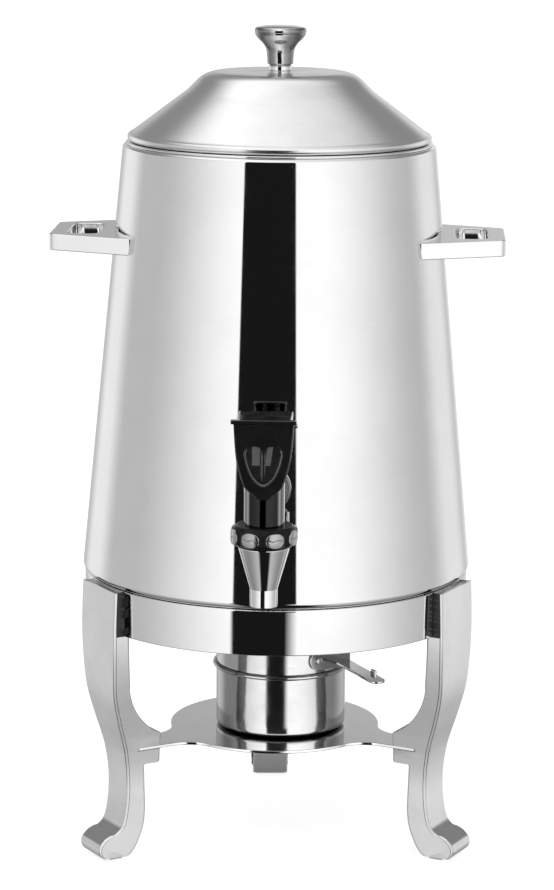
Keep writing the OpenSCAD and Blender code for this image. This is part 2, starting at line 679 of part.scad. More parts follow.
module tap_body() color(steel) difference() {
    union() {
        at_tap() translate([0, 0, barrel_low_z])
            cylinder(h = barrel_up + barrel_down, r = barrel_r);
        shank_rod(shank_r + 2, tap_y, flange_back - flange_t + eps);
        shank_rod(flange_r, flange_back - flange_t, flange_back);
        shank_rod(shank_r, flange_back - eps, nut_y + nut_t + 2);
    }
    at_tap() translate([0, 0, barrel_low_z - 1])
        cylinder(h = barrel_up + barrel_down + 2, r = barrel_bore_r);
    shank_rod(shank_bore_r, tap_y, 0);
}

module outlet_cone() color(steel) at_tap() difference() {
    union() {
        translate([0, 0, outlet_z]) cylinder(h = spout_l, r = spout_r);
        translate([0, 0, spout_z]) cylinder(h = cone_l, r1 = spout_r, r2 = cone_top_r);
        translate([0, 0, grip_ring_z]) cylinder(h = grip_ring_h, r = barrel_r);
        translate([0, 0, barrel_low_z]) cylinder(h = thread_l, r = barrel_bore_r);
    }
    translate([0, 0, outlet_z - 1]) cylinder(h = wide / 4, r = spout_bore_r);
}

module ring_shape(grow) rotate_extrude($fn = 128) polygon([
    [barrel_r + collar_fit, grip_ring_z], [grip_ring_r - 3.4, grip_ring_z],
    [grip_ring_r + grow, grip_ring_z + 3], [grip_ring_r + grow, barrel_low_z - 3],
    [grip_ring_r - 3.4, barrel_low_z], [barrel_r + collar_fit, barrel_low_z]]);

// oval plug that points out of the ring, from radius a to radius b
module oval_plug(a, b) {
    half_w = PI * grip_ring_r / pad_count * 0.75;
    half_h = grip_ring_h * 0.36;
    for (k = [0:pad_count - 1]) rotate([0, 0, 360 / pad_count * (k + 0.5)])
        translate([a, 0, grip_ring_z + grip_ring_h / 2]) rotate([90, 0, 90])
            linear_extrude(height = b - a) polygon([for (t = [0:12:348])
                [half_w * sign(cos(t)) * pow(abs(cos(t)), 0.75),
                 half_h * sign(sin(t)) * pow(abs(sin(t)), 0.75)]]);
}

pad_seat = grip_ring_r - 2.2;
module grip_ring() color(dark) at_tap() difference() {
    ring_shape(0);
    oval_plug(pad_seat, grip_ring_r + 5);
    for (k = [0:pad_count - 1]) rotate([0, 0, 360 / pad_count * k])
        translate([grip_ring_r + 2.2, 0, grip_ring_z - 1]) cylinder(h = grip_ring_h + 2, r = 3, $fn = 32);
}

module ring_pads() color(steel) at_tap() intersection() {
    oval_plug(pad_seat, grip_ring_r + 5);
    translate([0, 0, grip_ring_z]) cylinder(h = grip_ring_h, r = grip_ring_r + 0.4, $fn = 128);
}

// pieces clamped on the shank, shaped to the tapered walls
module wall_gasket() color(dark) difference() {
    shank_rod(flange_r - 1, flange_back, 0);
    taper(-seal_gap, shank_z - 40, shank_z + 40);
    shank_rod(shank_r + hole_clear, -wide, 0);
}

module shank_spacer() color(steel) difference() {
    intersection() {
        shank_rod(flange_r - 2, -body_base_r - 10, 0);
        taper(sheet_t + touch, shank_z - 40, shank_z + 40);
    }
    taper(tank_off - touch, shank_z - 40, shank_z + 40);
    shank_rod(shank_r + hole_clear, -wide, 0);
}

module tank_gasket() color(dark) difference() {
    intersection() {
        shank_rod(flange_r - 2, -body_base_r, nut_y);
        taper(tank_off + sheet_t + seal_gap, shank_z - 40, shank_z + 40);
    }
    shank_rod(shank_r + hole_clear, -wide, 0);
}

module shank_nut() color(steel) difference() {
    shank_rod(flange_r - 2, nut_y, nut_y + nut_t, 6);
    shank_rod(shank_r, -wide, 0);
}

// ---- valve ----
seat_z = barrel_low_z + thread_l;
bonnet_z = barrel_top_z;
spigot_depth = 6;
ear_r = pin_r + 0.9;
ear_in = 9;             // inner face of each ear, from the middle
ear_out = 12;
head_r = 3.2;
cross_w = 7.6;          // half length of the cross pin
spring_r = 5.5;
spring_low_z = seat_z + seat_h + wire_r;
spring_top_z = bonnet_z - spigot_depth - wire_r;

module bonnet_cap() color(steel) difference() {
    union() {
        at_tap() translate([0, 0, bonnet_z]) cylinder(h = bonnet_h, r1 = barrel_r, r2 = barrel_r - 0.4);
        at_tap() translate([0, 0, bonnet_z - spigot_depth])
            cylinder(h = spigot_depth + eps, r = barrel_bore_r);
        intersection() {
            for (s = [-1, 1]) translate([s * (ear_in + ear_out) / 2, pin_y, 0]) {
                translate([0, 0, pin_z]) rotate([0, 90, 0])
                    cylinder(h = ear_out - ear_in, r = ear_r, center = true, $fn = 48);
                translate([(ear_in - ear_out) / 2, -ear_r, bonnet_z + bonnet_h - 1])
                    cube([ear_out - ear_in, 2 * ear_r, pin_up + 1]);
            }
            at_tap() translate([0, 0, bonnet_z]) cylinder(h = wide, r = barrel_r + 3);
        }
    }
    at_tap() translate([0, 0, bonnet_z - 20]) cylinder(h = wide, r = stem_r + run_clear, $fn = 48);
    translate([0, pin_y, pin_z]) rotate([0, 90, 0])
        cylinder(h = wide, r = pin_r, center = true, $fn = 48);
}

module lever_pin() color(steel) translate([0, pin_y, pin_z]) rotate([0, 90, 0])
    cylinder(h = 2 * lever_flange_w - 0.6, r = pin_r, center = true, $fn = 48);

module valve_stem() color(steel) at_tap() difference() {
    union() {
        translate([0, 0, seat_z + 3]) cylinder(h = pin_z - seat_z - 3, r = stem_r, $fn = 48);
        translate([0, 0, pin_z - 2.6]) cylinder(h = 4.4, r = head_r, $fn = 48);
    }
    translate([0, 0, pin_z]) rotate([0, 90, 0])
        cylinder(h = 4 * head_r, r = cross_r, center = true, $fn = 48);
}

module stem_pin() color(steel) at_tap() translate([0, 0, pin_z]) rotate([0, 90, 0])
    cylinder(h = 2 * cross_w, r = cross_r, center = true, $fn = 48);

module seat_cup() color("white") at_tap() difference() {
    rotate_extrude() polygon([[0, seat_z], [seat_r - 0.6, seat_z], [seat_r, seat_z + 0.8],
        [seat_r, seat_z + 3.5], [seat_r * 0.7, seat_z + seat_h], [0, seat_z + seat_h]]);
    translate([0, 0, seat_z + 3]) cylinder(h = seat_h, r = stem_r, $fn = 48);
}

// ring of the spring's wire at turn t, and the closed skin through all rings
module stem_spring() {
    steps = 24 * spring_turns;
    n = 8;
    rise = spring_top_z - spring_low_z;
    pts = [for (i = [0:steps]) let (a = 360 * spring_turns * i / steps) for (k = [0:n - 1])
        let (b = 360 * k / n, r = spring_r + wire_r * cos(b))
        [r * cos(a), r * sin(a), spring_low_z + rise * i / steps + wire_r * sin(b)]];
    color(steel) at_tap() polyhedron(points = pts, convexity = 8, faces = concat(
        [[for (k = [0:n - 1]) k]], [[for (k = [n - 1:-1:0]) steps * n + k]],
        [for (i = [0:steps - 1]) for (k = [0:n - 1]) let (m = (k + 1) % n)
            [i * n + k, (i + 1) * n + k, (i + 1) * n + m, i * n + m]]));
}

// ---- lever ----
lever_front = tap_y - barrel_r - shield_gap - lever_wall;
lever_low = pin_z + 5.4;                // underside of the top flange
plate_z = lever_low + 1.3;              // underside of the plate over the cavity
flange_h = 2.6;
hood_in = 1.8;                          // set-back of the hood's sides behind the shield's edges
cheek_in = barrel_r + 1.6;              // inner face of the lever's cheeks
lever_back = pin_y + 6;
fork_in = head_r + 1.1;
fork_out = cross_w - 0.6;
slot_h = 2 * cross_r + 1;

// front view of the shield, half width x against height z
module shield_front(d, deep) {
    low = lever_low - shield_h;
    half = concat(arc(0, low + shield_low_w * 0.62, shield_low_w * 0.62, -90, -35, 4),
        smooth([[shield_low_w - 0.4, low + 8.5], [shield_low_w + 1.8, low + 15],
            [shield_w - 1.6, low + 27], [shield_w, lever_low]], 4));
    inner = [for (p = half) [max(0, p[0] - d), p[1]]];
    translate([0, lever_front + deep, 0]) rotate([90, 0, 0]) linear_extrude(height = deep)
        polygon(concat(inner, [for (p = backwards(inner)) [-p[0], p[1]]]));
}

// heart-shaped outline in the shield's face, shrunk by d
module heart(d, thick) {
    top = lever_low - 13.3;
    half = concat([[0, top - 2 - d * 1.2]], backwards(arc(6.1, top - 5.6, 5.7 - d, -20, 145, 8)),
        [[10.2 - d, top - 12.8], [7.5 - d, top - 19.2], [4.2 - d * 0.8, top - 23.3 + d * 0.5]],
        [[0, top - 25.4 + d]]);
    translate([0, lever_front + thick, 0]) rotate([90, 0, 0]) linear_extrude(height = thick)
        polygon(concat(half, [for (p = backwards(half)) if (p[0] > 0) [-p[0], p[1]]]));
}

module tap_lever() color(dark) difference() {
    union() {
        shield_front(0, lever_wall);
        // hood behind the shield's upper half
        intersection() {
            shield_front(hood_in, lever_back - lever_front);
            rotate([90, 0, 90]) translate([0, 0, -wide / 2]) linear_extrude(height = wide)
                polygon([[lever_front, lever_low - 34], [lever_front + lever_wall, lever_low - 34],
                    [tap_y, lever_low - 14], [lever_back, lever_low - 10], [lever_back, lever_low + 1],
                    [lever_front, lever_low + 1]]);
        }
        translate([hood_in - shield_w, lever_front, lever_low])
            cube([2 * (shield_w - hood_in), lever_back - lever_front, flange_h]);
        translate([-lever_flange_w, lever_front - 1, lever_low])
            cube([2 * lever_flange_w, lever_wall + 1.5, flange_h]);
    }
    // cavity round barrel, bonnet and ears
    difference() {
        translate([-cheek_in, lever_front + lever_wall, lever_low - shield_h - 1])
            cube([2 * cheek_in, wide, plate_z - lever_low + shield_h + 1]);
        for (s = [-1, 1]) translate([s * (fork_in + fork_out) / 2, tap_y, pin_z])
            translate([(fork_in - fork_out) / 2, -4.9, -3.6]) cube([fork_out - fork_in, 8.6, wide]);
    }
    // slots for the stem's cross pin
    translate([-fork_out - 1, tap_y - 2.9, pin_z - slot_h / 2]) cube([2 * fork_out + 2, 4.7, slot_h]);
    translate([0, pin_y, pin_z]) rotate([0, 90, 0])
        cylinder(h = wide, r = pin_r + run_clear, center = true, $fn = 48);
    translate([0, -eps, 0]) heart(0, recess_t + eps);
}

module lever_inlay() color([0.25, 0.25, 0.26]) translate([0, recess_t * 0.4, 0]) heart(0.15, recess_t * 0.6);

stand_ring();
leg_left();
leg_right();
leg_rear();
leg_screws();
foot_pads();
fuel_tray();
tray_screws();
fuel_cup();
cover_cap();
cover_handle();
cover_rivet();
outer_shell();
inner_tank();
mouth_ring();
base_ring();
handle_left();
handle_right();
handle_screws();
lid_shell();
lid_skirt();
lid_knob();
knob_collar();
knob_washer();
knob_screw();
tap_body();
outlet_cone();
grip_ring();
ring_pads();
bonnet_cap();
wall_gasket();
shank_spacer();
tank_gasket();
shank_nut();
tap_lever();
lever_inlay();
lever_pin();
valve_stem();
stem_pin();
seat_cup();
stem_spring();
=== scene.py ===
import math
from types import SimpleNamespace

import bmesh
import bpy
import numpy as np
from mathutils import Matrix, Vector
from mathutils.geometry import tessellate_polygon


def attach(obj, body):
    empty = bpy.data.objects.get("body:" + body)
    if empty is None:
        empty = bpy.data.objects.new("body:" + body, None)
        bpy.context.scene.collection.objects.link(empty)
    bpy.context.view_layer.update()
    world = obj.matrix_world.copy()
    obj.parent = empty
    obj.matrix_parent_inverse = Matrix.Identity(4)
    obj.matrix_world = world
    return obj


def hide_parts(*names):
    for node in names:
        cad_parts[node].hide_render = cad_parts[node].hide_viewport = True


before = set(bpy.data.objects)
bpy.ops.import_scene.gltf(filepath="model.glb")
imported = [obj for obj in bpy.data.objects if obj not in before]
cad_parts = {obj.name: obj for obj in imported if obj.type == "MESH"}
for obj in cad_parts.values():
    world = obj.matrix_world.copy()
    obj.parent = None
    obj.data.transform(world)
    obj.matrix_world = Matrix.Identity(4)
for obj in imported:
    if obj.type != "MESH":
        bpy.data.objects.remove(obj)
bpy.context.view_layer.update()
print("frame loaded")


# a dictionary's values, to be read by their names
def named(values):
    return SimpleNamespace(**values)


# new object, linked into the scene
def addObject(name, data):
    thing = bpy.data.objects.new(name, data)
    bpy.context.scene.collection.objects.link(thing)
    return thing


# camera, studio and floor

cameraSet = {"azimuth": 2.6, "distance": 2.074, "height": 0.6785, "lookDown": 11.2, "roll": 0.5,
             "lens": 127.0, "sensor": 36.0, "far": 100.0}


# camera on a circle round the object: placed at its azimuth, turned to the middle, tipped down and rolled
def makeCamera(s):
    data = bpy.data.cameras.new("viewCamera")
    data.lens, data.sensor_width, data.clip_end = s.lens, s.sensor, s.far
    camera = addObject("viewCamera", data)
    turn = math.radians(s.azimuth)
    place = Matrix.Translation((s.distance * math.sin(turn), -s.distance * math.cos(turn), s.height))
    tip = Matrix.Rotation(math.radians(90 - s.lookDown), 4, "X")
    roll = Matrix.Rotation(math.radians(s.roll), 4, "Z")
    camera.matrix_world = place @ Matrix.Rotation(turn, 4, "Z") @ tip @ roll
    bpy.context.scene.camera = camera


makeCamera(named(cameraSet))
bpy.context.scene.view_settings.view_transform = "Standard"


# each input of a node gets a value or, from another node's output, a link
def setInputs(tree, node, inputs):
    for key, value in inputs.items():
        if isinstance(value, bpy.types.NodeSocket):
            tree.links.new(value, node.inputs[key])
        else:
            node.inputs[key].default_value = value


# new shader node: the settings are its own properties, and the inputs are given by name or number
def addNode(tree, kind, inputs=None, **settings):
    node = tree.nodes.new("ShaderNode" + kind)
    for key, value in settings.items():
        setattr(node, key, value)
    setInputs(tree, node, inputs or {})
    return node


# one sum, product or other operation of one or two values
def mathNode(tree, operation, *values):
    return addNode(tree, "Math", dict(enumerate(values)), operation=operation).outputs[0]


# soft step: 0 at the start, 1 at the end, and 3t^2 - 2t^3 between them
def stepNode(tree, value, start, end):
    return addNode(tree, "MapRange", {"Value": value, "From Min": start, "From Max": end},
                   interpolation_type="SMOOTHSTEP").outputs[0]


# first value at share 0, second at share 1
def mixNode(tree, share, first, second):
    return addNode(tree, "Mix", {0: share, 2: first, 3: second}, data_type="FLOAT").outputs[0]


# value by height: from the first value it runs evenly to each next one, between that one's two heights
def byHeight(tree, height, first, steps):
    value = first
    for start, end, target in steps:
        part = addNode(tree, "MapRange", {"Value": height, "From Min": start, "From Max": end}, clamp=True)
        value = mixNode(tree, part.outputs[0], value, target)
    return value


# light tent: an even grey wall with soft panels round the object, each with its direction in degrees from
# the front, the distances where it starts and stops to fade, and its strength; one dark gap stands at the
# front, and each edge of the gap starts at its first value and runs to the next one between two heights of
# the direction
tentSet = {
    "wall": 0.58,
    "panels": [(8, 20, 100, 0.65), (-135, 5, 25, 0.38), (135, 5, 28, 0.32), (172, 3, 16, 0.22)],
    "gapLevel": 0.010, "gapEnd": (0.12, 0.20), "gapEndLift": 0.35,
    "gapLeft": (-22.6, [(-0.04, -0.16, -21.5), (-0.17, -0.22, -24.5), (-0.35, -0.60, -30.0)]),
    "gapRight": (14.8, [(-0.17, -0.22, 15.5), (-0.35, -0.60, 44.0)]),
    "softLeft": (0.7, [(-0.17, -0.22, 2.0), (-0.35, -0.60, 12.0)]),
    "softRight": (0.7, [(-0.17, -0.22, 7.5), (-0.35, -0.60, 14.0)]),
    "band": 0.27, "bandHeight": (0.17, 0.36), "bandBehind": (-0.10, 0.30),
    "ceiling": 1.08, "ceilingLean": -0.62, "ceilingHeight": (0.60, 0.92),
    "lowDim": 0.5, "lowHeight": (-0.22, -0.55), "under": 0.12, "underHeight": (-0.75, -0.95),
}


# tent: wall plus strength times soft step for each panel, then the other parts mixed in one after the other
def makeTent(s):
    world = bpy.data.worlds.new("lightTent")
    bpy.context.scene.world = world
    world.use_nodes = True
    tree = world.node_tree
    tree.nodes.clear()

    def calc(operation, *values):
        return mathNode(tree, operation, *values)

    coords = addNode(tree, "TexCoord").outputs["Generated"]
    x, y, z = addNode(tree, "SeparateXYZ", {0: coords}).outputs
    degrees = calc("MULTIPLY", calc("ARCTAN2", x, calc("MULTIPLY", y, -1.0)), 180 / math.pi)
    level = s.wall
    for centre, full, gone, strength in s.panels:
        # distance from the panel's middle, the short way round
        away = calc("MODULO", calc("ADD", degrees, 540.0 - centre), 360.0)
        away = calc("ABSOLUTE", calc("SUBTRACT", away, 180.0))
        level = calc("ADD", level, calc("MULTIPLY", stepNode(tree, away, gone, full), strength))
    # behind the object a darker band stands above the horizon, and over it the bright ceiling
    band = calc("MULTIPLY", stepNode(tree, z, *s.bandHeight), stepNode(tree, y, *s.bandBehind))
    level = mixNode(tree, band, level, s.band)
    ceiling = calc("ADD", calc("MULTIPLY", x, s.ceilingLean), s.ceiling)
    level = mixNode(tree, stepNode(tree, z, *s.ceilingHeight), level, ceiling)
    # downwards it gets dimmer, and straight under the object dark
    dim = calc("MULTIPLY", stepNode(tree, z, *s.lowHeight), s.lowDim)
    level = calc("MULTIPLY", level, calc("SUBTRACT", 1.0, dim))
    level = mixNode(tree, stepNode(tree, z, *s.underHeight), level, s.under)
    # dark gap at the front: inside both of its edges
    left = calc("SUBTRACT", degrees, byHeight(tree, z, *s.gapLeft))
    left = calc("DIVIDE", left, byHeight(tree, z, *s.softLeft))
    right = calc("SUBTRACT", byHeight(tree, z, *s.gapRight), degrees)
    right = calc("DIVIDE", right, byHeight(tree, z, *s.softRight))
    inside = calc("MINIMUM", calc("MAXIMUM", calc("MINIMUM", left, right), 0.0), 1.0)
    # it ends a little above the horizon, and higher for what is seen over two mirrors
    rays = addNode(tree, "LightPath").outputs
    twice = calc("GREATER_THAN", rays["Ray Depth"], 1.5)
    height = calc("SUBTRACT", z, calc("MULTIPLY", twice, s.gapEndLift))
    inside = calc("MULTIPLY", inside, calc("SUBTRACT", 1.0, stepNode(tree, height, *s.gapEnd)))
    level = mixNode(tree, inside, level, s.gapLevel)
    # the camera itself sees plain white
    strength = mixNode(tree, rays["Is Camera Ray"], level, 1.0)
    light = addNode(tree, "Background", {"Color": (1.0, 1.0, 1.0, 1.0), "Strength": strength})
    addNode(tree, "OutputWorld", {"Surface": light.outputs[0]})


makeTent(named(tentSet))

floorSet = {"half": 40.0, "ownLight": 0.80, "color": (0.42, 0.42, 0.42, 1.0)}


# floor: a wide matt square that glows for the camera only
def makeFloor(s):
    mesh = bpy.data.meshes.new("floor")
    corners = [(a * s.half, b * s.half, 0) for a, b in ((-1, -1), (1, -1), (1, 1), (-1, 1))]
    mesh.from_pydata(corners, [], [(0, 1, 2, 3)])
    floor = addObject("floor", mesh)
    material = bpy.data.materials.new("paleFloor")
    material.use_nodes = True
    tree = material.node_tree
    tree.nodes.clear()
    rays = addNode(tree, "LightPath").outputs
    strength = mathNode(tree, "MULTIPLY", rays["Is Camera Ray"], s.ownLight)
    glow = addNode(tree, "Emission", {"Strength": strength})
    matt = addNode(tree, "BsdfDiffuse", {"Color": s.color})
    both = addNode(tree, "AddShader", {0: matt.outputs[0], 1: glow.outputs[0]})
    addNode(tree, "OutputMaterial", {"Surface": both.outputs[0]})
    mesh.materials.append(material)
    floor.visible_glossy = False    # metal shows the tent all round, also from below


makeFloor(named(floorSet))

lampSet = {"lampLeft": ((-1.7, -1.2, 1.9), 9.0), "lampRight": ((1.9, -0.9, 1.6), 7.0)}
lampSize, lampAim = 1.3, Vector((0, 0, 0.3))
for name, (place, power) in lampSet.items():
    lamp = bpy.data.lights.new(name, "AREA")
    lamp.shape, lamp.size, lamp.energy = "DISK", lampSize, power
    holder = addObject(name, lamp)
    holder.location = place
    holder.rotation_euler = (lampAim - holder.location).to_track_quat("-Z", "Y").to_euler()
    holder.visible_glossy = False
print("studio ready")


# finishes

surfaceSet = {"cloudDetail": 5.0, "cloudRoughness": 0.62, "cloudEdges": (0.34, 0.68), "lineHeight": 0.0001,
              "hairDetail": 3.0, "spunDetail": 2.5, "spunDrift": 14.0}


# node group with named inputs; numbers make float inputs, triples vector inputs
def startGroup(name, **inputs):
    tree = bpy.data.node_groups.new(name, "ShaderNodeTree")
    for label, value in inputs.items():
        kind = "NodeSocketFloat" if isinstance(value, float) else "NodeSocketVector"
        tree.interface.new_socket(label, in_out="INPUT", socket_type=kind).default_value = value
    return tree, tree.nodes.new("NodeGroupInput").outputs


# outputs of a node group, each with the result it passes on
def endGroup(tree, **results):
    for label, result in results.items():
        kind = "NodeSocketVector" if result.type == "VECTOR" else "NodeSocketFloat"
        tree.interface.new_socket(label, in_out="OUTPUT", socket_type=kind)
    made = tree.nodes.new("NodeGroupOutput")
    setInputs(tree, made, results)
    return tree


# polishing haze: cloudy noise, eased to a mask, and the mask stretched between Low and High
def makeHazeGroup(s):
    tree, given = startGroup("polishHaze", Vector=(0, 0, 0), Scale=30.0, Low=0.04, High=0.08)
    cloud = addNode(tree, "TexNoise", {"Vector": given["Vector"], "Scale": given["Scale"],
                                       "Detail": s.cloudDetail, "Roughness": s.cloudRoughness})
    mask = stepNode(tree, cloud.outputs[0], *s.cloudEdges)
    between = addNode(tree, "MapRange", {"Value": mask, "To Min": given["Low"], "To Max": given["High"]})
    return endGroup(tree, Value=between.outputs[0], Mask=mask)


# fine lines: noise at a stretched place gives the mask, and a very low bump of it the normal
def endLines(tree, place, detail, depth):
    lines = addNode(tree, "TexNoise", {"Vector": place, "Scale": 1.0, "Detail": detail}).outputs[0]
    bump = addNode(tree, "Bump", {"Strength": depth, "Distance": surfaceSet["lineHeight"], "Height": lines})
    return endGroup(tree, Mask=lines, Normal=bump.outputs[0])


# hairlines: the place is squeezed across the lines and drawn out along them
def makeHairlineGroup(s):
    tree, given = startGroup("hairlines", Vector=(0, 0, 0), Grain=(40.0, 40.0, 2200.0), Depth=0.1)
    place = addNode(tree, "VectorMath", {0: given["Vector"], 1: given["Grain"]}, operation="MULTIPLY")
    return endLines(tree, place.outputs[0], s.hairDetail, given["Depth"])


# spun rings: the place is the distance from the upright axis, the root of x^2 + y^2
def makeSpunGroup(s):
    tree, given = startGroup("spunRings", Vector=(0, 0, 0), Density=1500.0, Depth=0.1)
    x, y, z = addNode(tree, "SeparateXYZ", {0: given["Vector"]}).outputs
    square = mathNode(tree, "ADD", mathNode(tree, "MULTIPLY", x, x), mathNode(tree, "MULTIPLY", y, y))
    away = mathNode(tree, "MULTIPLY", mathNode(tree, "SQRT", square), given["Density"])
    place = addNode(tree, "CombineXYZ", {0: away, 1: mathNode(tree, "MULTIPLY", z, given["Density"]),
                                         2: mathNode(tree, "MULTIPLY", x, s.spunDrift)})
    return endLines(tree, place.outputs[0], s.spunDetail, given["Depth"])


hazeGroup = makeHazeGroup(named(surfaceSet))
hairlineGroup = makeHairlineGroup(named(surfaceSet))
spunGroup = makeSpunGroup(named(surfaceSet))


# a finish: haze drives the roughness and, times the lines, mixes two colours; the lines drive the normal.
# The attribute "shade" mixes painted shade, painted shadow and painted reflection into the colour, and on the
# heart inlay, with its pale shade colour, painted highlights; in the mode that paints black shade those faces
# are no metal either, and "satin" dulls faces
def makeFinish(name, light, dark, rough, metallic=1.0, spun=False, grain=(40.0, 40.0, 2200.0), depth=0.01,
               scale=30.0, coat=0.0, specular=0.5, shadeBy=None, shadeColor=0.006, dull=0.6):
    material = bpy.data.materials.new(name)
    material.use_nodes = True
    tree = material.node_tree
    shader = next(n for n in tree.nodes if n.bl_idname == "ShaderNodeBsdfPrincipled")
    place = addNode(tree, "TexCoord").outputs["Object"]
    haze = addNode(tree, "Group", {"Vector": place, "Scale": scale, "Low": rough[0], "High": rough[1]},
                   node_tree=hazeGroup).outputs
    group, drawn = (spunGroup, {"Density": grain[2]}) if spun else (hairlineGroup, {"Grain": grain})
    marks = addNode(tree, "Group", {"Vector": place, "Depth": depth, **drawn}, node_tree=group).outputs

    # first colour at share 0, second at share 1
    def mixColors(share, first, second):
        return addNode(tree, "Mix", {0: share, 6: first, 7: second}, data_type="RGBA").outputs[2]

    color = mixColors(mathNode(tree, "MULTIPLY", haze["Mask"], marks["Mask"]), (*light, 1.0), (*dark, 1.0))
    roughness = haze["Value"]
    # painted light: the "shade" attribute mixes the colour towards the shade colour
    if shadeBy:
        shade = addNode(tree, "Attribute", attribute_name="shade").outputs["Fac"]
        color = mixColors(shade, color, (shadeColor, shadeColor, shadeColor, 1.0))
    # painted black shade, which also takes the metal away from the shaded faces
    if shadeBy == "paintedShadeNoMetal":
        metallic = mathNode(tree, "SUBTRACT", 1.0, shade)
        satin = addNode(tree, "Attribute", attribute_name="satin").outputs["Fac"]
        roughness = mathNode(tree, "ADD", roughness, mathNode(tree, "MULTIPLY", satin, dull))
    setInputs(tree, shader, {
        "Base Color": color, "Metallic": metallic, "Roughness": roughness, "Coat Weight": coat,
        "Specular IOR Level": specular, "Normal": marks["Normal"]})
    return material


finishSet = {
    "mirrorSteel": dict(light=(0.83, 0.83, 0.835), dark=(0.77, 0.77, 0.775), rough=(0.025, 0.05), depth=0.004,
                        scale=24.0),
    "spunSteel": dict(light=(0.84, 0.84, 0.845), dark=(0.74, 0.74, 0.745), rough=(0.19, 0.25), spun=True,
                      grain=(0, 0, 2400.0), depth=0.10, scale=26.0),
    "brushedSteel": dict(light=(0.80, 0.80, 0.80), dark=(0.68, 0.68, 0.68), rough=(0.11, 0.17),
                         grain=(60.0, 60.0, 2600.0), depth=0.05, scale=45.0),
    "turnedSteel": dict(light=(0.66, 0.66, 0.665), dark=(0.54, 0.54, 0.545), rough=(0.22, 0.34),
                        grain=(1400.0, 1400.0, 1400.0), depth=0.05, scale=160.0),
    "chromePlate": dict(light=(0.82, 0.825, 0.835), dark=(0.75, 0.755, 0.765), rough=(0.02, 0.06),
                        grain=(900.0, 900.0, 1600.0), depth=0.003, scale=70.0),
    "legSteel": dict(light=(0.77, 0.77, 0.775), dark=(0.69, 0.69, 0.695), rough=(0.07, 0.14),
                     grain=(60.0, 60.0, 1500.0), depth=0.02, scale=40.0, shadeBy="paintedShadeNoMetal"),
    # lighter than the other polished steel: painted light that stands in for the brighter reflection of the
    # handles
    "handleSteel": dict(light=(0.92, 0.92, 0.925), dark=(0.86, 0.86, 0.865), rough=(0.035, 0.07), depth=0.006,
                        scale=40.0, shadeBy="paintedShadeAndLight"),
    # lighter than the other polished steel: painted light that stands in for the brighter reflection of the
    # tray
    "traySteel": dict(light=(0.97, 0.97, 0.97), dark=(0.90, 0.90, 0.90), rough=(0.08, 0.13),
                      grain=(60.0, 60.0, 2000.0), depth=0.02, scale=40.0),
    "cupSteel": dict(light=(0.84, 0.84, 0.84), dark=(0.70, 0.70, 0.70), rough=(0.09, 0.15),
                     grain=(60.0, 60.0, 2600.0), depth=0.05, scale=45.0, shadeBy="paintedShadeAndLight"),
    "padSteel": dict(light=(0.47, 0.47, 0.475), dark=(0.36, 0.36, 0.365), rough=(0.16, 0.26),
                     grain=(500.0, 500.0, 2400.0), depth=0.06, scale=150.0),
    "ringBlack": dict(light=(0.008, 0.008, 0.009), dark=(0.013, 0.013, 0.014), rough=(0.24, 0.38),
                      metallic=0.0, grain=(1500.0, 1500.0, 1500.0), depth=0.03, scale=120.0, specular=0.12),
    "glossBlack": dict(light=(0.010, 0.010, 0.011), dark=(0.017, 0.017, 0.018), rough=(0.10, 0.20),
                       metallic=0.0, grain=(1500.0, 1500.0, 1500.0), depth=0.02, scale=110.0, coat=0.25),
    # the inlay's shade colour is pale, so its "shade" attribute paints highlights
    "inlayBlack": dict(light=(0.016, 0.016, 0.017), dark=(0.028, 0.028, 0.029), rough=(0.08, 0.16),
                       metallic=0.0, grain=(1700.0, 1700.0, 1700.0), depth=0.02, scale=140.0, coat=0.4,
                       shadeBy="paintedShadeAndLight", shadeColor=0.30),
    "mattRubber": dict(light=(0.030, 0.030, 0.031), dark=(0.050, 0.050, 0.050), rough=(0.62, 0.80),
                       metallic=0.0, grain=(2200.0, 2200.0, 2200.0), depth=0.5, scale=90.0),
    "milkySilicone": dict(light=(0.80, 0.79, 0.75), dark=(0.72, 0.71, 0.67), rough=(0.38, 0.52), metallic=0.0,
                          grain=(1200.0, 1200.0, 1200.0), depth=0.2, scale=120.0),
}
# chrome with painted light: its "shade" attribute paints dark reflections and highlights on the knob, the
# barrel and the neck
finishSet["shadedChrome"] = dict(finishSet["chromePlate"], shadeBy="paintedShadeAndLight")
finishes = {name: makeFinish(name, **values) for name, values in finishSet.items()}
print("finishes ready")


# shared shapes; lengths are in millimetres until the mesh is made

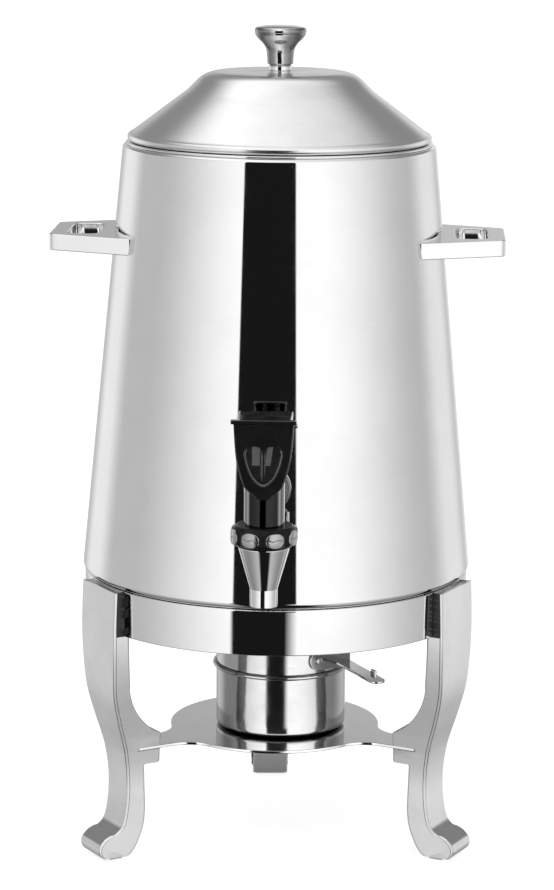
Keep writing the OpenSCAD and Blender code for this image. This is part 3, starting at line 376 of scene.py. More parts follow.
# rounded line: each corner (a, b, radius) becomes an arc that touches both of its sides; the arc is the
# turn from one touching radius to the other. Long straight runs get a point close to each end, which keeps
# them flat
def roundLine(corners, closed=True, steps=6, hold=0.3):
    c = np.array(corners, float)
    p, r = c[:, :2], c[:, 2].copy()
    if not closed:
        r[0] = r[-1] = 0
    back, on = np.roll(p, 1, 0) - p, np.roll(p, -1, 0) - p
    lenBack, lenOn = np.linalg.norm(back, axis=1), np.linalg.norm(on, axis=1)
    u, v = back / lenBack[:, None], on / lenOn[:, None]
    inner = np.arccos(np.clip((u * v).sum(1), -1, 1))
    inner = np.where(r > 0, inner, math.pi / 2)
    cut = np.minimum(r / np.tan(inner / 2), 0.49 * np.minimum(lenBack, lenOn))
    radius = cut * np.tan(inner / 2)
    middle = u + v
    middle /= np.maximum(np.linalg.norm(middle, axis=1), 1e-9)[:, None]
    centre = p + np.where(r > 0, 1, 0)[:, None] * middle * (radius / np.sin(inner / 2))[:, None]
    a, b = (p + u * cut[:, None] - centre), (p + v * cut[:, None] - centre)
    a, b = np.where(r[:, None] > 0, a, 0), np.where(r[:, None] > 0, b, 0)
    bend = np.maximum(math.pi - inner, 1e-4)[:, None, None]
    t = np.linspace(0, 1, steps + 1)[None, :, None]
    line = (centre[:, None] + (np.sin((1 - t) * bend) * a[:, None] + np.sin(t * bend) * b[:, None])
            / np.sin(bend)).reshape(-1, 2)
    return holdEnds(dropRepeats(line, closed), closed, hold)


# points that lie on the one before them are left out
def dropRepeats(line, closed=True):
    gap = np.linalg.norm(line - np.roll(line, 1, 0), axis=1)
    keep = gap > 1e-5
    if not closed:
        keep[0] = True
    return line[keep]


# long straight runs get a point close to each end: the end plus the hold over the length times the step
def holdEnds(line, closed=True, hold=0.3):
    step = np.roll(line, -1, 0) - line
    length = np.linalg.norm(step, axis=1)
    long = length > 4 * hold
    if not closed:
        long[-1] = False
    part = (hold / np.maximum(length, 1e-9))[:, None]
    rows = np.stack((line, line + step * part, line + step * (1 - part)), 1)
    return rows[np.stack((np.ones(len(line), bool), long, long), 1)]


# circle arc: centre plus radius times (cos, sin)
def arcLine(a, b, radius, start, end, count=9):
    t = np.radians(np.linspace(start, end, count))
    return np.column_stack((a + radius * np.cos(t), b + radius * np.sin(t)))


# smooth line through points: in each span a cubic whose end slopes are half the step between the neighbours
def smoothLine(points, count=8):
    p = np.asarray(points, float)
    a, b, c, d = np.vstack((p[:1], p[:-2])), p[:-1], p[1:], np.vstack((p[2:], p[-1:]))
    a, b, c, d = (q[:, None] for q in (a, b, c, d))
    t = (np.arange(count) / count)[None, :, None]
    square, cube = 2 * a - 5 * b + 4 * c - d, 3 * b - a - 3 * c + d
    line = 0.5 * (2 * b + (c - a) * t + square * t ** 2 + cube * t ** 3)
    return np.vstack((line.reshape(-1, p.shape[1]), p[-1:]))


# even spacing along a line, by its length
def evenLine(line, count):
    run = np.concatenate(([0], np.cumsum(np.linalg.norm(np.diff(line, axis=0), axis=1))))
    at = np.linspace(0, run[-1], count)
    return np.column_stack([np.interp(at, run, line[:, k]) for k in range(line.shape[1])])


# quads between neighbouring rows and columns of a grid of points
def gridFaces(rows, columns, closedRows, closedColumns):
    i = np.arange(rows if closedRows else rows - 1)
    j = np.arange(columns if closedColumns else columns - 1)
    i, j = np.meshgrid(i, j, indexing="ij")
    up, over = (i + 1) % rows, (j + 1) % columns
    corners = (i * columns + j, up * columns + j, up * columns + over, i * columns + over)
    return np.stack(corners, -1).reshape(-1, 4)


# points and quads of a grid
def gridShell(grid, closedRows=True, closedColumns=True):
    return grid.reshape(-1, 3), gridFaces(*grid.shape[:2], closedRows, closedColumns).tolist()


# shell of closed rows, with one face over its last column
def cappedShell(grid):
    points, faces = gridShell(grid, True, False)
    rows, columns = grid.shape[:2]
    faces.append([k * columns + columns - 1 for k in range(rows)])
    return points, faces


# rectangle with rounded corners: one radius for both low corners and one for both high ones
def rectangle(left, right, low, high, lowRound, highRound):
    return roundLine([(left, low, lowRound), (right, low, lowRound), (right, high, highRound),
                      (left, high, highRound)])


# turned form: the closed line (r, h) goes once round an axis: (a + r cos, b + r sin, h), with the axis
# along z, or (a + r sin, h, b + r cos) with the axis along y, or (h, a + r cos, b + r sin) with the axis
# along x
def turned(line, segments=192, centre=(0, 0), axis="z"):
    t = 2 * math.pi * np.arange(segments) / segments
    r, h = line[:, 0], line[:, 1]
    first, second = centre[0] + np.outer(np.cos(t), r), centre[1] + np.outer(np.sin(t), r)
    along = np.broadcast_to(h, first.shape)
    order = {"z": (first, second, along), "y": (first, along, second), "x": (along, first, second)}[axis]
    return gridShell(np.stack(order, -1))


# outward offset directions of a closed outline: the sum of both edge normals over 1 plus their cosine
def outlineNormals(outline):
    edge = np.roll(outline, -1, 0) - outline
    n = np.column_stack((edge[:, 1], -edge[:, 0])) / np.maximum(np.linalg.norm(edge, axis=1), 1e-9)[:, None]
    before = np.roll(n, 1, 0)
    area = (outline[:, 0] * np.roll(outline[:, 1], -1) - outline[:, 1] * np.roll(outline[:, 0], -1)).sum()
    return np.sign(area) * (n + before) / np.maximum(1 + (n * before).sum(1), 0.4)[:, None]


# edge of a plate: quarter circles at both rims as pairs (inset, height), with a hold row on each flat
def plateEdge(low, high, edge, steps=4, hold=0.3):
    t = np.radians(np.linspace(0, 90, steps + 1))
    under = np.column_stack((edge * (1 - np.sin(t)), low + edge * (1 - np.cos(t))))
    over = np.column_stack((edge * (1 - np.cos(t)), high - edge * (1 - np.sin(t))))
    side = np.array([[0, low + edge + hold], [0, high - edge - hold]])
    if side[1, 1] <= side[0, 1]:
        side = np.empty((0, 2))
    return np.vstack(([[edge + hold, low]], under, side, over, [[edge + hold, high]]))


# plate: a flat outline carried between two levels with rounded rims; "plane" names the outline's two axes
def plate(outline, low, high, edge=0.5, plane="xy", steps=4, hold=0.3):
    normals = outlineNormals(outline)
    rows = plateEdge(low, high, edge, steps, hold)
    flat = outline[:, None] - normals[:, None] * rows[None, :, :1]
    level = np.broadcast_to(rows[None, :, 1], flat.shape[:2])
    order = {"xy": (flat[..., 0], flat[..., 1], level), "xz": (flat[..., 0], level, flat[..., 1]),
             "yz": (level, flat[..., 0], flat[..., 1])}[plane]
    grid = np.stack(order, -1)
    points, faces = gridShell(grid, True, False)
    count, columns = grid.shape[:2]
    faces.append((np.arange(count) * columns).tolist())
    faces.append((np.arange(count)[::-1] * columns + columns - 1).tolist())
    return points, faces


# turned round the upright axis: (x cos - y sin, x sin + y cos, z)
def turnedBy(points, degrees):
    t = math.radians(degrees)
    return np.column_stack((points[:, 0] * math.cos(t) - points[:, 1] * math.sin(t),
                            points[:, 0] * math.sin(t) + points[:, 1] * math.cos(t), points[:, 2]))


# one object from several shells: doubles merged, faces turned outwards, sharp edges by angle
def makePiece(name, shells, body, finish, slot, nodes=(), sharp=34, **marks):
    points, faces, start = [], [], 0
    for shellPoints, shellFaces in shells:
        points.append(np.asarray(shellPoints, float) / 1000)
        faces += [[k + start for k in face] for face in shellFaces]
        start += len(shellPoints)
    mesh = bpy.data.meshes.new(name)
    mesh.from_pydata(np.vstack(points), [], faces)
    for mark, values in marks.items():
        values = np.concatenate([np.ravel(v) for v in values]).astype(np.float32)
        mesh.attributes.new(mark, "FLOAT", "POINT").data.foreach_set("value", values)
    work = bmesh.new()
    work.from_mesh(mesh)
    bmesh.ops.remove_doubles(work, verts=work.verts, dist=1e-6)
    bmesh.ops.dissolve_degenerate(work, edges=work.edges, dist=1e-7)
    bmesh.ops.recalc_face_normals(work, faces=work.faces)
    work.to_mesh(mesh)
    work.free()
    mesh.polygons.foreach_set("use_smooth", np.ones(len(mesh.polygons), bool))
    mesh.set_sharp_from_angle(angle=math.radians(sharp))
    mesh.materials.append(finishes[finish])
    piece = addObject(name, mesh)
    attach(piece, body)
    if nodes:
        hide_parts(*nodes)


# body of the urn: tapered double wall with a raised floor

bodySet = {"baseRadius": 130.6, "topRadius": 103.5, "base": 185.5, "height": 285.5, "sheet": 1.0,
           "jacket": 5.0, "baseEdge": 4.0, "topEdge": 2.5, "baseInside": 119.5, "floor": 245.5,
           "floorEdge": 6.0, "mouth": 1.8, "heatHole": 60.0, "holeCollar": 5.0, "spigot": 118.5,
           "spigotDepth": 8.0}


# outside radius of the body: it shrinks evenly with the height over the base
def bodyRadius(z):
    s = named(bodySet)
    return s.baseRadius - (s.baseRadius - s.topRadius) * (z - s.base) / s.height


# shell, tank and base: closed lines of sheet thickness; the tank lies inside by the sheet and the jacket
def makeBody(s):
    top, t, off = s.base + s.height, s.sheet, s.sheet + s.jacket
    lid = top + s.mouth
    shell = roundLine([
        (s.baseInside, s.base, 0.3), (s.baseRadius, s.base, s.baseEdge),
        (s.topRadius, top, s.topEdge), (bodyRadius(top) - off, top, 0),
        (bodyRadius(top - t) - off, top - t, 0), (s.topRadius - t, top - t, s.topEdge - t),
        (s.baseRadius - t, s.base + t, s.baseEdge - t), (s.baseInside, s.base + t, 0.3)])
    makePiece("bodyShell", [turned(shell, 256)], "urn", "mirrorSteel", "polished_steel", ["outer_shell"])
    tank = roundLine([
        (0, s.floor, 0), (bodyRadius(s.floor) - off, s.floor, s.floorEdge),
        (bodyRadius(lid) - off, lid, 0.4), (bodyRadius(lid) - off - t, lid, 0.4),
        (bodyRadius(s.floor + t) - off - t, s.floor + t, s.floorEdge - t), (0, s.floor + t, 0)])
    makePiece("tankShell", [turned(tank, 192)], "urn", "brushedSteel", "polished_steel", ["inner_tank"])
    inside, outside = s.topRadius - 10, s.topRadius - 2
    ring = roundLine([(inside, top, 0), (outside, top, 0.85), (outside, lid, 0.85), (inside, lid, 0)])
    ring[:, 0] = np.maximum(ring[:, 0], bodyRadius(lid) - off + 0.02)
    makePiece("mouthTrim", [turned(ring, 192)], "urn", "mirrorSteel", "polished_steel", ["mouth_ring"])
    low, flat, outer = s.base - s.spigotDepth, s.base + t, s.baseRadius - s.baseEdge - 1
    hole, collar = s.heatHole, low + s.holeCollar
    base = roundLine([
        (hole, low, 0.8), (s.spigot, low, 1.2), (s.spigot, flat, 0), (outer, flat, 0),
        (outer, flat + t, 0), (s.spigot - t, flat + t, 0.4), (s.spigot - t, low + t, 0.4),
        (hole + t, low + t, 0.3), (hole + t, collar, 0.3), (hole, collar, 0.3)])
    makePiece("baseDish", [turned(base, 192)], "urn", "brushedSteel", "polished_steel", ["base_ring"])


makeBody(named(bodySet))
print("body made")


# side handles: flat frames with a finger opening, their inner ends shaped to the taper

handleSet = {"reach": 149.93, "level": 407.5, "thick": 10.8, "baseHalf": 55.0, "endHalf": 34.0, "bar": 11.5,
             "openLong": 21.0, "openHalf": 27.0, "openRound": 7.0, "corner": 6.0, "edge": 0.7,
             "upperShade": 0.58}


# frame: walls round the outer and the inner outline, joined above and below by flat faces with a hole
def makeHandle(name, sign, node):
    s = named(handleSet)
    out, inn = s.reach - s.bar, s.reach - s.bar - s.openLong
    lean = math.degrees(math.atan((s.baseHalf - s.endHalf) / (s.reach - bodySet["topRadius"])))
    c, r, mirror = s.corner, s.openRound, np.array([1, -1])
    corner = arcLine(s.reach - c, s.endHalf - c, c, 0, 90 - lean, 10)
    foot = np.array([math.sqrt(bodyRadius(s.level) ** 2 - s.baseHalf ** 2), s.baseHalf])
    side = np.linspace(corner[-1], foot, 14)[1:]
    steps, gap = 30, 0.03
    atBody = np.column_stack((np.zeros(steps), np.linspace(s.baseHalf, 0, steps + 2)[1:-1]))
    half = np.vstack((corner, side, atBody))
    outer = np.vstack((half, [[0, 0]], (half * mirror)[::-1]))
    flat = np.concatenate((np.zeros(len(corner) + len(side), bool), np.ones(steps + 1, bool)))
    flat = np.concatenate((flat, flat[-2::-1]))
    opening = np.vstack((arcLine(out - r, s.openHalf - r, r, 0, 90, 10),
                         arcLine(inn + r, s.openHalf - r, r, 90, 180, 10)))
    inner = np.vstack((opening, (opening * mirror)[::-1]))
    rows = plateEdge(s.level - s.thick / 2, s.level + s.thick / 2, s.edge, 5)
    wall = outer[:, None] - outlineNormals(outer)[:, None] * rows[None, :, :1]
    # at the body the wall follows the taper at each level
    taper = np.sqrt((bodyRadius(rows[None, :, 1]) + gap) ** 2 - outer[:, None, 1] ** 2)
    wall[..., 0] = np.where(flat[:, None], taper, wall[..., 0])
    wall[..., 1] = np.where(flat[:, None], outer[:, None, 1], wall[..., 1])
    hole = inner[:, None] + outlineNormals(inner)[:, None] * rows[None, :, :1]
    points, faces, shade = [], [], []
    # painted shade: the upper face is darker than the polished sides, standing in for its darker reflection
    upper = np.where(np.arange(len(rows)) >= len(rows) - 2, s.upperShade, 0.0)
    for ring in (wall, hole):
        level = np.broadcast_to(rows[None, :, 1], ring.shape[:2])
        shell, shellFaces = gridShell(np.dstack((ring, level)), True, False)
        faces += [[k + sum(map(len, points)) for k in face] for face in shellFaces]
        points.append(shell)
        shade.append(np.broadcast_to(upper, ring.shape[:2]))
    count = len(rows)
    for row in (0, count - 1):
        rings = [[Vector((*p, 0)) for p in ring[:, row]] for ring in (wall, hole)]
        index = [i * count + row for i in range(len(outer))]
        index += [len(points[0]) + i * count + row for i in range(len(inner))]
        faces += [[index[k] for k in face] for face in tessellate_polygon(rings)]
    points = np.vstack(points) * np.array([sign, 1, 1])
    makePiece(name, [(points, faces)], "urn", "handleSteel", "polished_steel", [node], shade=shade)


makeHandle("handleLeftFrame", -1, "handle_left")
makeHandle("handleRightFrame", 1, "handle_right")
print("handles made")


# lid: cone with a flat top, rolled rim and centring skirt

lidSet = {"rimRadius": 97.7, "rimWire": 2.8, "rimLevel": 475.7, "slope": 37.0, "top": 519.3,
          "skirtOut": 95.4, "skirtIn": 93.9, "skirtLow": 465.8}


# lid: flat top, a shoulder through points given by their distances back and down, a straight cone, and a
# wire bead; its inside is the same line moved down by the sheet
def makeLid(s):
    foot = np.array([s.rimRadius + 0.2 * s.rimWire, s.rimLevel + 0.9 * s.rimWire])
    top = s.top
    bend = [[30, 0.35], [24, 0.6], [17.7, 1.1], [12.1, 2.9], [8.2, 5.5], [5.5, 8.2], [2.7, 11.0], [0, 13.6]]
    shoulder = foot[0] - (top - bend[-1][1] - foot[1]) / math.tan(math.radians(s.slope))
    cone = np.array([[shoulder + 0.6, top - 14.05], foot + [-1.0, 0.76]])
    line = np.vstack(([[0, top], [0.3, top]], smoothLine([[shoulder - a, top - b] for a, b in bend], 8),
                      holdEnds(cone, False, 1.0)))
    bead = arcLine(s.rimRadius, s.rimLevel, s.rimWire, 72, -212, 40)
    under = (line - [0.2, 1.25])[::-1]
    under[-1, 0] = under[-2, 0] = 0
    under = under[:-1]
    profile = dropRepeats(np.vstack((line, bead, under)))
    makePiece("lidCone", [turned(profile, 256)], "lid", "spunSteel", "satin_steel", ["lid_shell"])
    out, level = s.skirtOut - 0.4, s.rimLevel
    skirt = roundLine([(s.skirtIn, s.skirtLow, 0.4), (out, s.skirtLow, 0.4), (out, level - 2.6, 0),
                       (s.skirtIn + 1, level - 1.8, 0), (s.skirtIn + 1, level + 3.6, 0),
                       (s.skirtIn, level + 3.6, 0)])
    makePiece("lidCollar", [turned(skirt, 192)], "lid", "brushedSteel", "satin_steel", ["lid_skirt"])


makeLid(named(lidSet))

knobSet = {"base": 522.3, "height": 26.5, "capRadius": 17.1, "stemRadius": 8.6, "collar": 3.0,
           "sideShade": 0.65, "shadeRise": 2.5, "brightRim": 1.6}


# knob: foot, waisted stem, round rim and a nearly flat cap; its painted shade, which stands in for the dark
# reflections on its sides, is the side's value times the rise times the share of the radius that points
# sideways, at most the side's value, and 0 on the rim's upper part
def makeKnob(s):
    b, top, stem, cap = s.base, s.base + s.height, s.stemRadius, s.capRadius
    line = np.vstack((
        roundLine([(0, b, 0), (stem - 1.4, b, 0.15), (stem - 1.4, b + 0.8, 0.2), (stem, b + 1.4, 0.3),
                   (stem, b + 2.4, 0)], closed=False, steps=4),
        smoothLine([[stem, b + 3], [stem + 0.2, top - 20.1], [stem + 0.5, top - 17.3],
                    [stem + 1.3, top - 14.6], [stem + 3.2, top - 11.8], [stem + 6, top - 9],
                    [cap - 0.5, top - 6.4]], 7),
        arcLine(cap - 2.4, top - 3.6, 2.4, -30, 75, 16),
        [[cap * 0.66, top - 0.5], [cap * 0.33, top - 0.15], [0, top]]))
    knob = turned(line, 128)
    x, y, z = knob[0].T
    # painted shade on the knob's sides
    side = s.sideShade * np.clip(s.shadeRise * np.abs(x) / np.maximum(np.hypot(x, y), 0.01), 0, 1)
    side[z > top - s.brightRim] = 0
    makePiece("knobCap", [knob], "lid", "shadedChrome", "chrome", ["lid_knob"], shade=[side])
    low = b - s.collar
    collar = roundLine([(0, low, 0), (stem - 1.1, low, 0.3), (stem - 1.4, b - 0.02, 0.4), (0, b - 0.02, 0)],
                       closed=False)
    makePiece("knobFoot", [turned(collar, 96)], "lid", "chromePlate", "chrome", ["knob_collar"])


makeKnob(named(knobSet))
print("lid made")


# stand: ring band, three curled legs and the hung tray

standSet = {"height": 185.5, "turn": 4.0, "legAngle": 61.0, "ringRadius": 129.0, "ringHeight": 30.0,
            "ringWall": 2.0, "ledge": 8.0, "legTop": 46.0, "legFoot": 27.0, "legDepth": 13.5, "lip": 2.2,
            "inset": 1.2, "pad": 1.5, "tray": 75.0, "trayThick": 2.0, "trayRadius": 71.0, "armHalf": 13.0,
            "fillet": 22.0, "tongue": 112.0, "lugIn": 96.0, "lugHigh": 21.0}
legTurns = [270 - standSet["legAngle"] + standSet["turn"], 270 + standSet["legAngle"] + standSet["turn"],
            90 + standSet["turn"]]


# ring: an upright band with a ledge turned inwards at its top
def makeRing(s):
    out, high = s.ringRadius, s.height
    inn, low = out - s.ringWall, high - s.ringHeight
    line = roundLine([(inn, low, 0.4), (out, low, 0.5), (out, high, 1.0), (inn - s.ledge, high, 0.6),
                      (inn - s.ledge, high - s.ringWall, 0.6), (inn, high - s.ringWall, 0.8)])
    makePiece("ringBand", [turned(line, 256)], "stand", "mirrorSteel", "polished_steel", ["stand_ring"])


makeRing(named(standSet))


# half width of a leg at a height: eased from the foot's width to the top's
def legHalf(z):
    s = named(standSet)
    t = np.clip((z / s.height - 0.25) / 0.6, 0, 1)
    return (s.legFoot + (s.legTop - s.legFoot) * (3 * t ** 2 - 2 * t ** 3)) / 2


# leg: pairs of front and back points from the top to the sole; across each pair a section with a lipped
# strip in front, set-in sides and rounded back edges, its half width taken from the height of each point
def legForm():
    s = named(standSet)
    r, h, d = s.ringRadius, s.height, s.legDepth
    front = smoothLine([
        [r + 6, h - 0.5], [r + 6.9, h * 0.85], [r + 6.4, h * 0.71], [r + 4.9, h * 0.61], [r + 0.4, h * 0.51],
        [r - 5.4, h * 0.4], [r - 7.7, h * 0.3], [r - 7.4, h * 0.21], [r - 4.9, h * 0.135],
        [r - 0.6, h * 0.102], [r + 3.6, h * 0.096]], 10)
    toe = np.vstack(([[r + 8, h * 0.086]], arcLine(r + 6.2, 8.4, 6.8, 52, -58, 22)))
    front = np.vstack((front, toe))
    back = smoothLine([
        [r + 8 - d, h - 0.5], [r + 7.8 - d, h * 0.8], [r + 6 - d, h * 0.66], [r + 3.4 - d, h * 0.54],
        [r - 4 - d, h * 0.42], [r - 7.6 - d, h * 0.35], [r - 8.7 - d, h * 0.25], [r - 9 - d, h * 0.17],
        [r - 20.9, h * 0.108], [r - 16.2, 8.6], [r - 11.3, 2.4], [r - 5.5, 0.2], [r + 2, 0.2]], 10)
    # the lug for the tray's tongue is part of the back line: its rise, its corners and the slot between them
    low, slot, end, meet = s.tray - s.trayThick / 2 - s.lugHigh / 2, s.trayThick + 0.2, s.tongue, 62.0
    top, bend, inside = low + s.lugHigh, 45.0, s.lugIn
    start = -math.degrees(math.acos((inside + 1 - (r + 6.4 - d - bend)) / bend))
    rise = arcLine(r + 6.4 - d - bend, top - bend * math.sin(math.radians(start)), bend, -9, start, 22)
    level = np.concatenate((np.linspace(h - 0.02, h - s.ringHeight + 0.02, 22),
                            np.linspace(h - s.ringHeight - 0.02, rise[0, 1] + 2, 18)))

    # radius of a line at a height
    def radiusAt(line, z):
        above = line[line[:, 1] > 40]
        return np.interp(z, above[::-1, 1], above[::-1, 0], right=above[0, 0])

    under = s.tray - s.trayThick - 0.1
    lug = np.array([
        [inside + 0.3, top - 0.2], [inside, top - 0.7], [inside, under + slot], [end, under + slot],
        [end, under], [inside, under], [inside, low + 0.8], [inside + 0.8, low], [end - 5.4, low],
        [radiusAt(back, meet + 0.3), meet + 0.3]])
    slotFront, meetFront = [under + slot - 0.02, under + 0.02], [meet + 1, meet + 0.3]
    frontLevel = np.concatenate((level, rise[:, 1], lug[:3, 1], slotFront, lug[5:8, 1], meetFront))
    upperFront = np.column_stack((radiusAt(front, frontLevel), frontLevel))
    upperBack = np.vstack((np.column_stack((radiusAt(back, level), level)), rise, lug))

    # the rest of a line below the lug, evenly divided
    def lowerPart(line, start):
        cut = np.argmax(line[:, 1] < meet)
        return evenLine(np.vstack((start[-1:], line[cut:])), 64)[1:]

    f = np.vstack((upperFront, lowerPart(front, upperFront)))
    b = np.vstack((upperBack, lowerPart(back, upperBack)))
    f[0, 1] = b[0, 1] = h - 0.02
    span = np.linalg.norm(b - f, axis=1)
    across = (b - f) / span[:, None]
    e, lip, inset, backEdge, k = 0.6, s.lip, s.inset, 1.2, 5
    t = np.radians(np.linspace(0, 90, k))
    # section rows: depth from the front, share of the span, width taken off (none: on the middle line)
    rows = [(0, 0, None), (0, 0, e + 0.4)]
    rows += [(e * (1 - math.cos(a)), 0, e * (1 - math.sin(a))) for a in t]
    seam = len(rows) + 2
    rows += [(lip - 0.3, 0, 0), (lip, 0, 0.3), (lip, 0, inset), (lip + 0.7, 0, inset), (lip + 0.8, 0, inset),
             (-backEdge - 0.4, 1, inset)]
    rows += [(-backEdge * (1 - math.sin(a)), 1, inset + backEdge * (1 - math.cos(a))) for a in t]
    rows += [(0, 1, inset + backEdge + 0.4), (0, 1, None)]
    depth = np.array([row[0] for row in rows], float)
    share = np.array([row[1] for row in rows], float)
    off = np.array([np.nan if row[2] is None else row[2] for row in rows])
    away = depth[None, :] + share[None, :] * span[:, None]
    place = f[:, None] + across[:, None] * away[..., None]
    half = np.where(np.isnan(off), 0, legHalf(place[..., 1]) - off[None, :])
    # above the ledge the back lies on the ring band
    onRing = place[..., 1] > h - s.ringHeight
    x = np.where(onRing & (share[None, :] > 0), np.sqrt((r + 0.03) ** 2 - half ** 2), place[..., 0])
    z = np.maximum(place[..., 1], s.pad)
    right = np.stack((x, half, z), -1)
    left = np.stack((x, -half, z), -1)[:, -2:0:-1]
    grid = np.concatenate((right, left), 1)
    points, faces = gridShell(grid, False, True)
    count, columns = grid.shape[:2]
    faces += [list(range(columns)), [(count - 1) * columns + k for k in reversed(range(columns))]]
    # painted shade: a dark seam behind the strip, and black side faces where the leg meets the ring, for the
    # shade and the dark reflections there
    shade = np.zeros(place.shape[:2])
    shade[:, seam:seam + 2] = 0.9
    shade[:, seam:-2] = np.where(onRing[:, seam:-2], 1.0, shade[:, seam:-2])
    satin = np.broadcast_to(np.arange(len(rows)) > len(rows) - k - 3, shade.shape) * 1.0
    shade, satin = (np.concatenate((mark, mark[:, -2:0:-1]), 1) for mark in (shade, satin))
    return points, faces, shade, satin


legPoints, legFaces, legShade, legSatin = legForm()
legNames = [("legFrontLeft", "leg_left"), ("legFrontRight", "leg_right"), ("legBack", "leg_rear")]
for (name, node), turn in zip(legNames, legTurns):
    makePiece(name, [(turnedBy(legPoints, turn), legFaces)], "stand", "legSteel", "polished_steel", [node],
              sharp=40, shade=[legShade], satin=[legSatin])
print("legs made")


# tray: hub circle and three arms joined by concave fillets, drawn arm by arm; a fillet's centre lies at the
# root of (hub + fillet)^2 - (arm + fillet)^2 along the arm
def makeTray(s):
    arm, hub = s.armHalf, s.trayRadius + s.fillet
    reach = math.sqrt(hub ** 2 - (arm + s.fillet) ** 2)
    lean = math.degrees(math.atan2(arm + s.fillet, reach))
    chamfer, fillet = 0.6, s.fillet
    tip = [[s.tongue, chamfer - arm], [s.tongue, arm - chamfer], [s.tongue - chamfer, arm]]
    leaving = np.vstack((tip, arcLine(reach, arm + fillet, fillet, -90, lean - 180, 20)))
    coming = np.vstack((arcLine(reach, -arm - fillet, fillet, 180 - lean, 90, 20),
                        [[s.tongue - chamfer, -arm]]))

    # a flat part turned to its arm
    def atAngle(part, angle):
        return turnedBy(np.column_stack((part, np.zeros(len(part)))), angle)[:, :2]

    line = []
    for turn, following in zip(legTurns, (legTurns[1], legTurns[2] + 360, legTurns[0])):
        between = arcLine(0, 0, s.trayRadius, turn + lean + 1, following - lean - 1, 48)
        line += [atAngle(leaving, turn), between, atAngle(coming, following)]
    outline = dropRepeats(np.vstack(line))
    makePiece("trayPlate", [plate(outline, s.tray - s.trayThick, s.tray, 0.35, "xy", 3)], "stand",
              "traySteel", "polished_steel", ["fuel_tray"])


makeTray(named(standSet))

padSet = {"from": 123.0, "to": 132.0, "half": 10.5, "thick": 1.5}
padLine = rectangle(padSet["from"], padSet["to"], -padSet["half"], padSet["half"], 1, 1)
padPoints, padFaces = plate(padLine, 0, padSet["thick"], 0.3)
makePiece("solePads", [(turnedBy(padPoints, turn), padFaces) for turn in legTurns], "stand", "milkySilicone",
          "silicone", ["foot_pads"])
print("stand made")


# fuel holder: beaded cup, cover and riveted strip handle

holderSet = {"x": 4.0, "radius": 44.0, "floor": 75.0, "height": 42.5, "wall": 0.8, "bead": 1.6, "foot": 4.0,
             "coverHigh": 17.0, "flame": 26.0, "spigotDown": 9.0, "rivetTurn": 36.0, "strip": 11.0,
             "stripThick": 1.6, "stripLong": 56.0, "tints": [(36, 5, 0.62), (60, 12, -0.15)], "tintTurn": 3,
             "footTint": 0.96, "coverTint": 0.7}


# painted shade by the angle round the wall, standing in for its darker reflections: the sum of amount times
# ((angle - start) / run, from 0 to 1); the foot's line has a painted shadow of its own
def paintedSideShade(points):
    s = named(holderSet)
    angle = np.abs(np.degrees(np.arctan2(points[:, 0] - s.x, -points[:, 1])) - s.tintTurn)
    side = sum(amount * np.clip((angle - start) / run, 0, 1) for start, run, amount in s.tints)
    foot = np.clip((s.floor + 3.6 - points[:, 2]) / 1.6, 0, 1)
    return np.maximum(side, foot * s.footTint)


